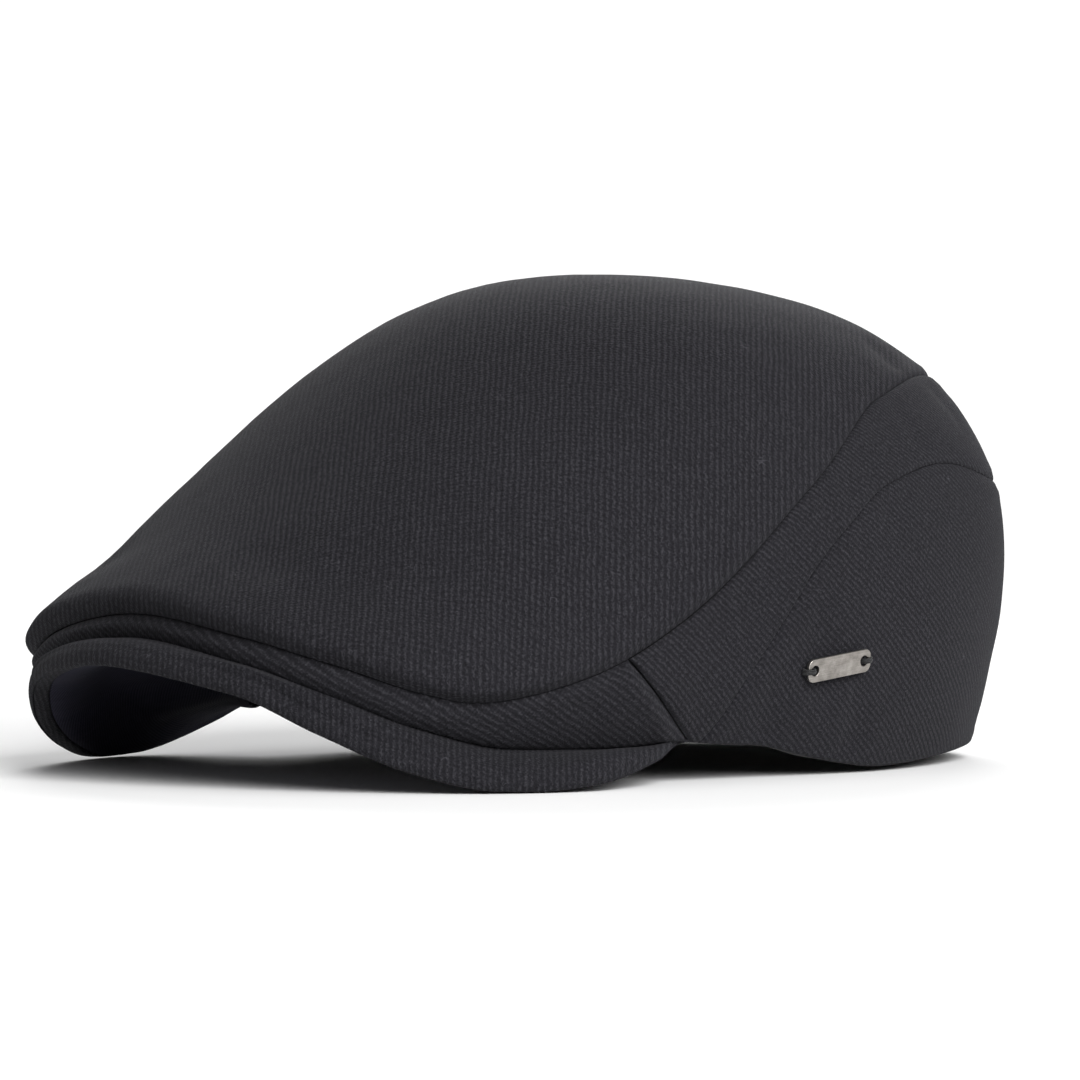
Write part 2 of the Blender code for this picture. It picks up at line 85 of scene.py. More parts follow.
# Curves, by their height, level or reach at a few angles in degrees round from the front.
CROWN_SEAM = ((0, 0.0525), (24, 0.0500), (35, 0.055), (47, 0.0585), (56, 0.088), (65, 0.138),
              (76, 0.222), (95, 0.408), (119, 0.563), (145, 0.606), (180, 0.575))
SIDE_SEAM = ((90.6, 0.0), (91.5, 0.12), (94, 0.205), (97.5, 0.285), (104.5, 0.360),
             (113.5, 0.420), (129.5, 0.451), (149.5, 0.418), (180, 0.385))
TEMPLE_SEAM = ((88.8, 0.0), (77.6, 0.088), (68.4, 0.161))
HEM_HEIGHT = ((0, 0.0351), (22, 0.0299), (33, 0.0232), (44, 0.0146), (56, 0.0091), (74, 0.0080),
              (88, 0.0090), (101, 0.0082), (119, 0.0027), (130, 0.0006), (158, 0.0032), (180, 0.0032))
LIP_REACH = ((0, 0.1180), (22, 0.1168), (33, 0.1158), (44, 0.1123), (55, 0.1088), (67, 0.1045),
             (78, 0.0935), (88, 0.0852))
LIP_HEIGHT = ((0, 0.0279), (22, 0.0221), (33, 0.0132), (44, 0.0043), (54, 0.0002), (60, 0.0),
              (68, 0.0013), (78, 0.0046), (88, 0.0055))

# ---- sizes of the visible cloth --------------------------------------------------------------
GAP = 0.00006          # between the two rolled edges of a seam
DIP, ROLL = 0.00070, 0.0014
RIDGE, RIDGE_AT, RIDGE_WIDE = 0.00022, 0.0028, 0.0016
HEM_ROLL = 0.0011, 0.0015
HEM_FOLD, HEM_FOLD_HEIGHT = 0.0010, 0.0095
SINK_IN = 0.00025      # the cloth's face lies this far under the body surface before it puffs
PUFF_CAP = 0.0010
STEP = 0.0024
EDGE_STEPS = np.array([0, 0.10, 0.28, 0.55, 0.9, 1.3, 1.8, 2.5, 3.4, 4.6, 6.4]) / 1000
POLE = 0.9995          # the highest level used: the top itself has no direction
BACK = 180 - 0.035     # half a seam's gap short of the back
VISOR_THICK, UNDER_THICK, LINING_THICK = 0.00065, 0.0004, 0.00035
LINING_TOP, LINING_SIDE = 0.5015, 0.4985


# ---- curves and the body surface -------------------------------------------------------------
def ease(t):
    t = np.clip(t, 0, 1)
    return t * t * (3 - 2 * t)


def through(keys, at):
    """A smooth curve through the keys that never overshoots them."""
    x, y = np.array(keys, float).T
    step, slope = np.diff(x), np.diff(y) / np.diff(x)
    bend = np.zeros(len(x))
    flat = slope[1:] * slope[:-1] <= 0
    near, far = 2 * step[1:] + step[:-1], step[1:] + 2 * step[:-1]
    safe = np.where(flat, 1.0, near / np.where(flat, 1, slope[:-1]) + far / np.where(flat, 1, slope[1:]))
    bend[1:-1] = np.where(flat, 0, (near + far) / safe)
    bend[0], bend[-1] = (0.0, 0.0) if flat.any() else (slope[0], slope[-1])
    at = np.clip(np.asarray(at, float), x[0], x[-1])
    i = np.clip(np.searchsorted(x, at) - 1, 0, len(step) - 1)
    t = (at - x[i]) / step[i]
    return (y[i] * (1 + 2 * t) * (1 - t) ** 2 + y[i + 1] * t * t * (3 - 2 * t)
            + step[i] * (bend[i] * t * (1 - t) ** 2 - bend[i + 1] * t * t * (1 - t)))


def plan(angle, half, front, back, front_power, back_power, centre):
    """A rounded outline in plan: its front and back halves meet at the widest place."""
    turn = np.radians(angle)
    side, along = np.sin(turn), -np.cos(turn)
    reach = np.where(along < 0, front, back)
    power = np.where(along < 0, front_power, back_power)
    radius = (np.abs(side / half) ** power + np.abs(along / reach) ** power) ** (-1 / power)
    return radius * side, radius * along + centre


def from_front(angle):
    """The same angle measured from the front, whichever way round."""
    return np.abs((np.asarray(angle, float) + 180) % 360 - 180)


def hem_height(angle):
    return through(HEM_HEIGHT, from_front(angle))


def opening_height(angle):
    a = from_front(angle)
    front = np.where(a < 90, np.cos(np.radians(a)) ** 2, 0)
    return hem_height(np.maximum(a, 90)) + (OPENING_FRONT_HEIGHT - hem_height(90)) * front


def rise(angle, front, side, back):
    along = -np.cos(np.radians(angle))
    return side + (np.where(along < 0, front, back) - side) * along ** 2


def dome(angle, level, *rings):
    """A surface drawn from its lowest ring, through the pull of three more, to its top."""
    weight = (1, 4, 6, 4, 1)
    total = 0
    for i, (outline, height) in enumerate(rings):
        x, y = plan(angle, *outline)
        ring = np.stack([x, y, height + 0 * x], -1)
        total = total + (weight[i] * level ** i * (1 - level) ** (4 - i))[..., None] * ring
    return total


def body(angle, level):
    """Outer face of the crown: angle round from the front, level 0 at the hem and 1 at the top."""
    angle, level = np.broadcast_arrays(np.asarray(angle, float), np.asarray(level, float))
    roll = (FRONT_ROLL * np.exp(-((level - 0.12) / 0.07) ** 2) * ease(level / 0.06)
            * (1 - ease((from_front(angle) - 50) / 45)))
    turn = np.radians(angle)
    return dome(
        angle, level,
        ((*HEM_OUTLINE, HEM_CENTRE_Y), hem_height(angle)),
        ((0.1000, 0.1120, 0.1290, 3.0, 2.2, -0.025), rise(angle, 0.060, 0.0335, 0.041)),
        ((0.0970, 0.0700, 0.1420, 2.3, 2.1, -0.005), rise(angle, 0.085, 0.0950, 0.097)),
        ((0.0600, 0.0730, 0.0750, 2.0, 2.0, CROWN_CENTRE_Y), CROWN_HEIGHT),
        ((1e-9, 1e-9, 1e-9, 2.0, 2.0, CROWN_CENTRE_Y), CROWN_HEIGHT),
    ) + roll[..., None] * np.stack([np.sin(turn), -np.cos(turn), 0 * turn], -1)


def lining_body(angle, level):
    """Outer face of the lining: it leaves the crown at the front and comes down to the visor."""
    angle, level = np.broadcast_arrays(np.asarray(angle, float), np.asarray(level, float))
    d, top = LINING_DEPTH, CROWN_HEIGHT - LINING_DEPTH - 0.0005
    inset = d + LINING + BAND_DEPTH + SWEATBAND - 0.0055
    return dome(
        angle, level,
        ((OPENING_HALF_WIDTH + 0.0035 - inset, OPENING_FRONT + 0.0035, OPENING_BACK + 0.0035,
          2.0, 2.35, HEM_CENTRE_Y), opening_height(angle) + 0.0008),
        ((0.1000 - d, 0.0740, 0.1290 - d, 2.2, 2.2, -0.025), rise(angle, 0.068, 0.0335, 0.041)),
        ((0.0970 - d, 0.0640, 0.1420 - d, 2.2, 2.1, -0.005), rise(angle, 0.083, 0.0925, 0.0945)),
        ((0.0600 - d, 0.0700, 0.0750 - d, 2.0, 2.0, CROWN_CENTRE_Y), top),
        ((1e-9, 1e-9, 1e-9, 2.0, 2.0, CROWN_CENTRE_Y), top),
    )


def normals(surface, angle, level, e=1e-4):
    round_step = surface(angle + 100 * e, level) - surface(angle - 100 * e, level)
    up_step = surface(angle, np.minimum(level + e, 1)) - surface(angle, np.maximum(level - e, 0))
    n = np.cross(round_step, up_step)
    return n / np.maximum(np.linalg.norm(n, axis=-1), 1e-15)[..., None], round_step, up_step


def shifted(curve, distance, e=1e-4):
    """The curve of (angle, level) moved sideways over the body, to the left of its direction."""
    angle, level = curve.T
    along = np.gradient(body(angle, level), axis=0)
    normal, round_step, up_step = normals(body, angle, level, e)
    sideways = np.cross(normal, along)
    sideways /= np.linalg.norm(sideways, axis=1)[:, None]
    grid = np.stack([round_step / (200 * e), up_step / (2 * e)], -1)
    return curve + np.einsum("nij,nj->ni", np.linalg.pinv(grid), sideways * distance)


def settled(points):
    """The points as the cap lies in the photo, a little unevenly: the temple on the wearer's right
    stands up off the floor, the cloth sags over the visor at the front right, and the hem hangs
    slightly lower behind the left temple."""
    x, y, z = np.moveaxis(np.asarray(points, float), -1, 0)
    turn = np.degrees(np.arctan2(x, HEM_CENTRE_Y - y))
    away = ease((np.hypot(x, y - HEM_CENTRE_Y) - 0.030) / 0.030) * (x < 0)
    lift = TEMPLE_LIFT * away * np.exp(-((turn + 84) / 14) ** 2) * (1 - ease(z / 0.070))
    sag = (away * np.exp(-((turn + 36) / 12) ** 2) * ease((z - 0.014) / 0.020)
           * (1 - ease((z - 0.036) / 0.040)))
    low = 0.0010 * (x > 0) * np.exp(-((turn - 98) / 8) ** 2) * (1 - ease(z / 0.030))
    out, heading = SAG_OUT * sag, np.radians(turn)
    return np.stack([x + out * np.sin(heading), y - out * np.cos(heading),
                     z + lift - SAG_DOWN * sag - low], -1)


# ---- grids -----------------------------------------------------------------------------------
def lengths(points, axis=0):
    """How far along its line each point lies."""
    steps = np.linalg.norm(np.diff(points, axis=axis), axis=-1)
    return np.insert(np.cumsum(steps, axis), 0, 0, axis)


def places(length, step=STEP):
    """Places from 0 to 1 along a length, close together at both ends."""
    ends = EDGE_STEPS[EDGE_STEPS < length * 0.42]
    middle = length - 2 * ends[-1]
    count = max(2, int(np.ceil(middle / step)))
    inner = ends[-1] + middle * np.arange(1, count) / count
    return np.concatenate([ends, inner, length - ends[::-1]]) / length


def edged(middle, length, low=0.0, count=8):
    """The middle places with a few more, close together, at both ends."""
    ends = EDGE_STEPS[:count]
    return np.concatenate([low + ends / length, middle, 1 - ends[::-1] / length])


def run_of(curve):
    return lengths(body(*curve.T))


def spread_at(curve, at):
    run = run_of(curve)
    at = np.asarray(at) * run[-1]
    return np.stack([np.interp(at, run, curve[:, 0]), np.interp(at, run, curve[:, 1])], -1)


def line_of(curve, count=500):
    return body(*spread_at(curve, np.linspace(0, 1, count)).T)


def fill_at(bottom, top, left, right, across, up):
    """Grid of (angle, level) between four curves, at uneven places."""
    b, t = spread_at(bottom, across)[:, None], spread_at(top, across)[:, None]
    l, r = spread_at(left, up)[None], spread_at(right, up)[None]
    u, w = across[:, None, None], up[None, :, None]
    corners = ((1 - u) * (1 - w) * b[:1] + u * (1 - w) * b[-1:]
               + (1 - u) * w * t[:1] + u * w * t[-1:])
    return (1 - w) * b + w * t + (1 - u) * l + u * r - corners


def disc_at(edge, xs, ys):
    """Grid of (angle, level) over everything above the level edge(angle), without a pole."""
    x, y = np.meshgrid(xs, ys, indexing="ij")
    across, along = x * np.sqrt(1 - y * y / 2), y * np.sqrt(1 - x * x / 2)
    angle = np.degrees(np.arctan2(across, -along))
    level = 1 - np.minimum(np.hypot(across, along), 1) * (1 - edge(angle))
    return np.stack([angle, np.minimum(level, POLE)], -1)


def smoothed(curve, rounds=6):
    curve = curve.copy()
    for _ in range(rounds):
        curve[1:-1] = (curve[:-2] + 2 * curve[1:-1] + curve[2:]) / 4
    return curve


def distance_to(points, line):
    """Distance of each point from a line of points."""
    flat = points.reshape(-1, 3)
    start, leg = line[:-1], np.diff(line, axis=0)
    size = np.maximum((leg ** 2).sum(-1), 1e-18)
    found = np.empty(len(flat))
    batch = 1500
    for i in range(0, len(flat), batch):
        away = flat[i:i + batch, None] - start[None]
        t = np.clip((away * leg).sum(-1) / size, 0, 1)
        found[i:i + batch] = np.sqrt(((away - t[..., None] * leg) ** 2).sum(-1)).min(1)
    return found.reshape(points.shape[:-1])


def resample(field, at, axis):
    """Values on an even grid, read at other places along one axis by a cubic curve."""
    count = field.shape[axis]
    x = np.clip(at, 0, 1) * (count - 1)
    i = np.clip(np.floor(x).astype(int), 0, count - 2)
    t = (x - i).reshape([-1 if a == axis else 1 for a in range(field.ndim)])
    p = [np.take(field, np.clip(i + k, 0, count - 1), axis) for k in (-1, 0, 1, 2)]
    return 0.5 * (2 * p[1] + (p[2] - p[0]) * t + (2 * p[0] - 5 * p[1] + 4 * p[2] - p[3]) * t ** 2
                  + (3 * p[1] - p[0] - 3 * p[2] + p[3]) * t ** 3)


def soft_noise(points, size, seed):
    """Smooth waves of about the given size, the same at every run."""
    rng = np.random.default_rng(seed)
    waves = 14
    total = np.zeros(points.shape[:-1])
    for _ in range(waves):
        way = rng.normal(size=3)
        way *= 2 * np.pi / (size * rng.uniform(0.7, 1.6) * np.linalg.norm(way))
        total += np.sin(points @ way + rng.uniform(0, 2 * np.pi))
    return total / np.sqrt(waves)


def grid_normals(points, row, side):
    """Normals of a grid, turned so that halfway along a row they look up (1) or down (-1)."""
    normal = np.cross(np.gradient(points, axis=0), np.gradient(points, axis=1))
    normal /= np.maximum(np.linalg.norm(normal, axis=-1), 1e-15)[..., None]
    return normal * np.sign(side * normal[len(points) // 2, row, 2])


# ---- objects ---------------------------------------------------------------------------------
def linked(name, data):
    made = bpy.data.objects.new(name, data)
    bpy.context.scene.collection.objects.link(made)
    return made


def keep(made, stands_for=()):
    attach(made, "root")
    if stands_for:
        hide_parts(*stands_for)


def outward(faces, quads, points, away):
    """The faces turned so that the quads among them look away from the inside."""
    q = points[quads]
    facing = np.cross(q[:, 2] - q[:, 0], q[:, 3] - q[:, 1])
    return faces[:, ::-1] if (facing * away[quads[:, 0]]).sum() < 0 else faces


def solid(name, points, faces, uv, finish, stands_for=(), border=None):
    """A smooth mesh object. Where its two halves have a border, the edges along it are sharp."""
    mesh = bpy.data.meshes.new(name)
    mesh.from_pydata(points.tolist(), [], faces.tolist() if border is not None else faces)
    mesh.update()
    layer = mesh.uv_layers.new(name="UVMap")
    loops = np.empty(len(mesh.loops), int)
    mesh.loops.foreach_get("vertex_index", loops)
    layer.data.foreach_set("uv", np.asarray(uv, np.float32)[loops].ravel())
    mesh.polygons.foreach_set("use_smooth", np.ones(len(mesh.polygons), bool))
    if border is not None:
        ends = np.empty(len(mesh.edges) * 2, int)
        mesh.edges.foreach_get("vertices", ends)
        ends = ends.reshape(-1, 2)
        half = ends < len(points) // 2
        mark = mesh.attributes.new("sharp_edge", "BOOLEAN", "EDGE")
        mark.data.foreach_set("value", border[ends].all(1) & (half[:, 0] == half[:, 1]))
    mesh.materials.append(finish)
    keep(linked(name, mesh), stands_for)


def slab(name, outer, inner, uv, finish, slot, stands_for, ring=False):
    """A closed sheet between two grids of points, with walls round its border."""
    outer, inner = settled(outer), settled(inner)
    m, n = outer.shape[:2]
    index = np.arange(m * n).reshape(m, n)
    cols = m if ring else m - 1
    here, after = index[:cols], np.roll(index, -1, axis=0)[:cols]
    front = np.stack([here[:, :-1], after[:, :-1], after[:, 1:], here[:, 1:]], -1).reshape(-1, 4)

    def wall(a, b):
        return np.stack([a, b, b + m * n, a + m * n], -1)

    faces = [front, front[:, ::-1] + m * n, wall(after[:, 0], here[:, 0]), wall(here[:, -1], after[:, -1])]
    border = np.zeros((m, n), bool)
    border[:, [0, -1]] = True
    if not ring:
        faces += [wall(index[0, :-1], index[0, 1:]), wall(index[-1, 1:], index[-1, :-1])]
        border[[0, -1]] = True
    points = np.concatenate([outer.reshape(-1, 3), inner.reshape(-1, 3)])
    faces = outward(np.concatenate(faces), front, points, (outer - inner).reshape(-1, 3))
    solid(name, points, faces, np.tile(uv.reshape(-1, 2), (2, 1)), finish, [stands_for],
          np.tile(border.ravel(), 2))


def wrapped(name, surface, angle, level, near, far, uv, finish, slot, stands_for, mirror=False):
    """A sheet that lies between two depths under a surface."""
    base, normal = surface(angle, level), normals(surface, angle, level)[0]
    side = np.array([-1, 1, 1]) if mirror else 1
    slab(name, (base - normal * near[..., None]) * side, (base - normal * far[..., None]) * side,
         uv * [-1, 1] if mirror else uv, finish, slot, stands_for)


# ---- cloth simulation ------------------------------------------------------------------------
CLOTH_SETTINGS = {
    "quality": 6, "mass": 0.25, "tension_stiffness": 25, "compression_stiffness": 25,
    "shear_stiffness": 12, "bending_stiffness": 1.2, "air_damping": 6, "vertex_group_mass": "held",
    "use_pressure": True,
}
CLOTH_FRAMES = 20


def puffed(rest, out, pressure, slack):
    """How far a panel held round its border moves, along out, when air presses it from inside."""
    m, n = rest.shape[:2]
    index = np.arange(m * n).reshape(m, n)
    quads = np.stack([index[:-1, :-1], index[1:, :-1], index[1:, 1:], index[:-1, 1:]], -1).reshape(-1, 4)
    points = rest.reshape(-1, 3)
    mesh = bpy.data.meshes.new("settling")
    mesh.from_pydata(points.tolist(), [], outward(quads, quads, points, out.reshape(-1, 3)).tolist())
    made = linked("settling", mesh)
    held = np.ones((m, n), bool)
    held[1:-1, 1:-1] = False
    made.vertex_groups.new(name="held").add(index[held].tolist(), 1.0, "REPLACE")
    modifier = made.modifiers.new("cloth", "CLOTH")
    for name, value in CLOTH_SETTINGS.items():
        setattr(modifier.settings, name, value)
    modifier.settings.shrink_min = -slack
    modifier.settings.uniform_pressure_force = pressure
    modifier.settings.effector_weights.gravity = 0
    modifier.collision_settings.use_collision = False
    modifier.point_cache.frame_start, modifier.point_cache.frame_end = 1, CLOTH_FRAMES
    scene = bpy.context.scene
    for at in range(1, CLOTH_FRAMES + 1):
        scene.frame_set(at)
    now = made.evaluated_get(bpy.context.evaluated_depsgraph_get())
    points = np.empty(m * n * 3, np.float32)
    now.data.vertices.foreach_get("co", points)
    scene.frame_set(1)
    bpy.data.objects.remove(made)
    move = ((points.reshape(m, n, 3).astype(float) - rest) * out).sum(-1)
    return PUFF_CAP * np.tanh(np.nan_to_num(move) / PUFF_CAP)


def simulated(grid_of, across, up, coarse, low=0, pressure=3.0, slack=0.004):
    """Puff of the panel that grid_of(across, up) lays out, simulated on a coarse even grid."""
    at = grid_of(*(np.linspace(low, 1, count) for count in coarse))
    angle, level = at[..., 0], at[..., 1]
    move = puffed(body(angle, level), normals(body, angle, level)[0], pressure, slack)
    return resample(resample(move, (across - low) / (1 - low), 0), (up - low) / (1 - low), 1)


# ---- the cloth panels ------------------------------------------------------------------------
def rolled(s, depth=DIP, radius=ROLL):
    """How far an edge has rolled in at a distance s from its seam."""
    t = np.clip(s / radius, 0, 1)
    return depth * (0.65 * (1 - t) ** 2.3 + 0.35 * (1 - np.sqrt(np.maximum(1 - (1 - t) ** 2, 0))))


def ridge(s, height=RIDGE):
    return height * np.exp(-((s - RIDGE_AT) / RIDGE_WIDE) ** 2)


def panel(name, at, edges, puff, finish, slot, stands_for, seed, mirror=False, thickness=0.0012):
    """A panel over the body at the given grid of (angle, level).

    edges lists (line of points, kind): a seam or tuck rolls in, the top panel rolls over the front
    band, and a hem is folded up inside."""
    angle, level = at[..., 0], at[..., 1]
    base = body(angle, level)
    lift = (puff - SINK_IN + 0.00016 * soft_noise(base, 0.045, seed)
            + 0.00007 * soft_noise(base, 0.016, seed + 1))
    front = 1 - ease((from_front(angle) - 62) / 42)
    middle = 1 - ease((from_front(angle) - 38) / 24)
    sink, fold, near = np.zeros(level.shape), np.zeros(level.shape), np.full(level.shape, 1.0)
    for line, kind in edges:
        s = distance_to(base, line)
        near = np.minimum(near, s)
        if kind == "hem":
            drawn = rolled(s, *HEM_ROLL)
            fold = np.maximum(fold, HEM_FOLD * (1 - ease((s - HEM_FOLD_HEIGHT) / 0.0008)) - drawn)
        elif kind == "tuck":
            drawn = rolled(s, 0.0014 + 0.0011 * middle, 0.0026 + 0.0020 * middle)
        elif kind == "over":
            drawn = rolled(s, 0.0010 + 0.0008 * front, 0.0020 + 0.0013 * front)
            lift = lift + ridge(s, 0.0002) + 0.0013 * front * np.exp(-((s - 0.0040) / 0.0036) ** 2)
        else:
            drawn = rolled(s)
            lift = lift + ridge(s)
        sink = np.maximum(sink, drawn)
    lift = lift * ease(near / 0.004)
    low = np.maximum(sink * 0.35, 0) + thickness + fold - np.clip(lift, -0.0003, 0.0008)
    wrapped(name, body, angle, level, sink - lift, np.maximum(low, sink - lift + 0.00035),
            panel_uv(angle, level), finish, slot, stands_for, mirror)


UV_ANGLES = np.linspace(-180, 180, 361)
UV_LEVELS = np.linspace(0, 1, 101)
UV_LINE_LEVEL = 0.22
ROUND_RUN = lengths(body(UV_ANGLES, UV_LINE_LEVEL + 0 * UV_ANGLES))
ROUND_RUN -= np.interp(0, UV_ANGLES, ROUND_RUN)
UP_RUN = lengths(body(UV_ANGLES[:, None], UV_LEVELS[None]), 1) + hem_height(UV_ANGLES)[:, None]


def panel_uv(angle, level):
    """Lengths round and up the body, so that the weave keeps its size and its slant."""
    x, y = np.clip(angle + 180, 0, 359.999), np.clip(level * 100, 0, 99.999)
    i, j = x.astype(int), y.astype(int)
    s, t = x - i, y - j
    v = ((1 - s) * (1 - t) * UP_RUN[i, j] + s * (1 - t) * UP_RUN[i + 1, j]
         + (1 - s) * t * UP_RUN[i, j + 1] + s * t * UP_RUN[i + 1, j + 1])
    return np.stack([np.interp(angle, UV_ANGLES, ROUND_RUN), v], -1)


def crown(finishes):
    ends = np.linspace(0, 180, 361)
    seam = np.stack([ends, through(CROWN_SEAM, ends)], -1)
    under_seam, over_seam = shifted(seam, -GAP), shifted(seam, GAP)

    def below(a):
        return np.interp(np.abs(a), under_seam[:, 0], under_seam[:, 1])

    def above(a):
        return np.interp(np.abs(a), over_seam[:, 0], over_seam[:, 1])

    temple = np.array(TEMPLE_SEAM)
    levels = np.linspace(0, 1, 41) * temple[-1, 1]
    seam = np.stack([np.interp(levels, temple[:, 1], temple[:, 0]), levels], -1)
    ahead, behind = shifted(seam, GAP), shifted(seam, -GAP)
    side = np.array(SIDE_SEAM)
    knee = 3   # the key where the side seam turns from steep to slanting
    steep = np.linspace(0, side[knee, 1], 60)
    steep = np.stack([np.interp(steep, side[:knee + 1, 1], side[:knee + 1, 0]), steep], -1)
    rest = np.linspace(side[knee, 0], 180, 180)[1:]
    seam = smoothed(np.vstack([steep, np.stack([rest, through(SIDE_SEAM, rest)], -1)]))
    side_above, side_below = shifted(seam, GAP), shifted(seam, -GAP)

    def from_hem_to_back(curve):
        last = np.interp(BACK, curve[-6:, 0], curve[-6:, 1])
        kept = np.vstack([curve[curve[:, 0] < BACK], [BACK, last]])
        kept[0, 1] = 0
        return kept

    # Front band, from temple to temple.
    ahead[:, 1] = np.clip(ahead[:, 1], 0, None)
    ahead[0, 1] = 0
    ahead[-1, 1] = below(ahead[-1, 0])
    reach = np.linspace(-1, 1, 241)
    bottom = np.stack([reach * ahead[0, 0], 0 * reach], -1)
    top = np.stack([reach * ahead[-1, 0], below(reach * ahead[-1, 0])], -1)
    other = ahead * [-1, 1]

    def band_at(a, u):
        return fill_at(bottom, top, other, ahead, a, u)

    across, up = places(run_of(bottom)[-1], 0.0022), places(0.016, 0.0014)
    at = band_at(across, up)
    puff = simulated(band_at, across, up, (110, 9))
    bow = 0.0004 * np.sin(np.pi * up)[None] * (1 - ease((np.abs(at[..., 0]) - 62) / 26))
    panel("cloth_front_band", at, [(line_of(top), "tuck"), (line_of(bottom), "tuck"),
                                   (line_of(ahead), "over"), (line_of(other), "over")],
          puff + bow, finishes["band"], "band_twill", "front_band", 11)

    # Upper side panels.
    behind[0, 1] = 0
    behind[-1, 1] = below(behind[-1, 0])
    run = np.linspace(behind[-1, 0], BACK, 241)
    crest = np.stack([run, below(run)], -1)
    lower = from_hem_to_back(side_above)
    foot = np.vstack([behind[0], lower])
    right = np.stack([[BACK] * 2, [lower[-1, 1], crest[-1, 1]]], -1)

    def upper_at(a, u):
        return fill_at(foot, crest, behind, right, a, u)

    across, up = places(run_of(crest)[-1]), places(0.026, 0.0020)
    upper = (upper_at(across, up),
             [(line_of(crest), "seam"), (line_of(lower), "seam"), (line_of(behind), "seam"),
              (line_of(right, 60), "seam"), (line_of(foot[:2], 12), "hem")],
             0.6 * simulated(upper_at, across, up, (60, 14)))

    # Lower side panels.
    seam = from_hem_to_back(side_below)
    corner = int(np.argmin(np.abs(seam[:, 1] - 0.27)[:80]))
    run = np.linspace(seam[0, 0], BACK, 241)
    hem = np.stack([run, 0 * run], -1)
    right_low = np.stack([[BACK] * 2, [0, seam[-1, 1]]], -1)

    def lower_at(a, u):
        return fill_at(hem, seam[corner:], seam[:corner + 1], right_low, a, u)

    across, up = places(run_of(hem)[-1]), places(0.055)
    lower = (lower_at(across, up),
             [(line_of(seam), "seam"), (line_of(hem), "hem"), (line_of(right_low, 60), "seam")],
             simulated(lower_at, across, up, (44, 22)))

    for where, mirror, seed in (("left", False, 21), ("right", True, 31)):
        for kind, made, more in (("upper_", upper, 0), ("lower_", lower, 4)):
            panel("cloth_side_" + kind + where, *made, finishes["side"], "side_twill",
                  "side_panel_" + kind + where, seed + more, mirror)

    # Top panel.
    def top_at(x, y):
        return disc_at(above, x, y)

    spots = edged(np.linspace(-1, 1, 84)[3:-3], 0.105, -1, len(EDGE_STEPS))
    rim = np.linspace(-180, 180, 1441)
    puff = simulated(top_at, spots, spots, (46, 46), -1, 2.0, 0.003)
    panel("cloth_top_panel", top_at(spots, spots), [(body(rim, above(rim)), "over")], puff,
          finishes["top"], "top_twill", "top_panel", 41)


# ---- visor -----------------------------------------------------------------------------------
# Section of the rolled edge: millimetres out from the lip, and the share of its height down.
RIM_PROFILE = ((-1.9, 0.02), (-1.2, 0.075), (-0.62, 0.17), (-0.2, 0.29), (0.02, 0.40), (0.03, 0.455),
               (-0.10, 0.49), (0.06, 0.525), (0.14, 0.62), (0.10, 0.74), (-0.06, 0.85), (-0.34, 0.94),
               (-0.66, 0.985), (-0.88, 0.985), (-1.0, 0.89), (-1.16, 0.985), (-1.6, 1.0), (-2.5, 1.0),
               (-3.5, 0.995), (-4.4, 0.975), (-4.85, 0.92), (-5.0, 0.80))


def around(angle, reach, z):
    """Points at a plan reach from the hem's centre."""
    turn = np.radians(angle)
    reach, z = np.broadcast_arrays(reach, z)
    return np.stack([reach * np.sin(turn), HEM_CENTRE_Y - reach * np.cos(turn), z], -1)


def hem_raise(a):
    return 0.0012 * ease((a - 50) / 18) + 0.0007 * ease((a - 78) / 9)


def visor_section(angle):
    """Plan reach of the inner edge, the hem line and the lip, with the edge thickness there."""
    a = np.abs(angle)
    inner = np.hypot(*plan(a, OPENING_HALF_WIDTH, OPENING_FRONT, OPENING_BACK, 2.0, 2.35, 0))
    hem = np.hypot(*plan(a, *HEM_OUTLINE, 0))
    edge = VISOR_EDGE + (VISOR_TIP_EDGE - VISOR_EDGE) * ease((a - 66) / 21.5)
    return inner, hem, through(LIP_REACH, a), edge


def visor_edges(angle):
    """Reach and height of the hem line, the lip and its lower edge, drawn to a point at the tips."""
    a = np.abs(angle)
    inner, hem, lip, edge = visor_section(angle)
    tip = ease((a - 72) / (VISOR_TIP - 72))
    z_hem = hem_height(a) - 0.0009 + hem_raise(a)
    foot = through(LIP_HEIGHT, a)
    foot = foot + (z_hem - 0.0004 - foot) * tip ** 1.5
    lip = lip + (hem - 0.0014 - lip) * tip ** 2
    top = foot + edge + (z_hem - foot - edge) * ease((a - 58) / 22)
    top = np.minimum(top, z_hem + 0.0001)
    return inner, hem, lip, top - foot, z_hem, top, foot, tip


def visor_layer(angle, reach, drop):
    """The visor's body, drop below its upper face: at the temples it rises behind the band."""
    inner, hem, lip, edge = visor_section(angle)
    a = np.abs(angle)
    z_inner, z_hem = opening_height(a) - 0.0008, hem_height(a) - 0.0009
    z_lip = np.minimum(through(LIP_HEIGHT, a) + edge, z_hem + 0.0001)
    t = np.clip((reach - inner) / (hem - inner), 0, 1)
    s = np.clip((reach - hem) / np.maximum(lip - hem, 1e-4), 0, 1)
    swell = 0.0018 * np.sin(np.pi * t) * np.cos(np.radians(a * 90 / 88))
    raised = 0.0016 * ease((a - 50) / 16)
    raised = raised + (hem_raise(a) - raised) * (1 - ease((1 - t) / 0.35))
    return around(angle, reach, z_inner + (z_hem - z_inner) * t + swell + (z_lip - z_hem) * s - drop
                  + ease(t / 0.3) * raised)


def strip_uv(line, grid):
    """Lengths along a line and down each row of a grid, so that the weave keeps its size."""
    return np.stack([np.repeat(lengths(line)[:, None], grid.shape[1], 1), lengths(grid, 1)], -1)


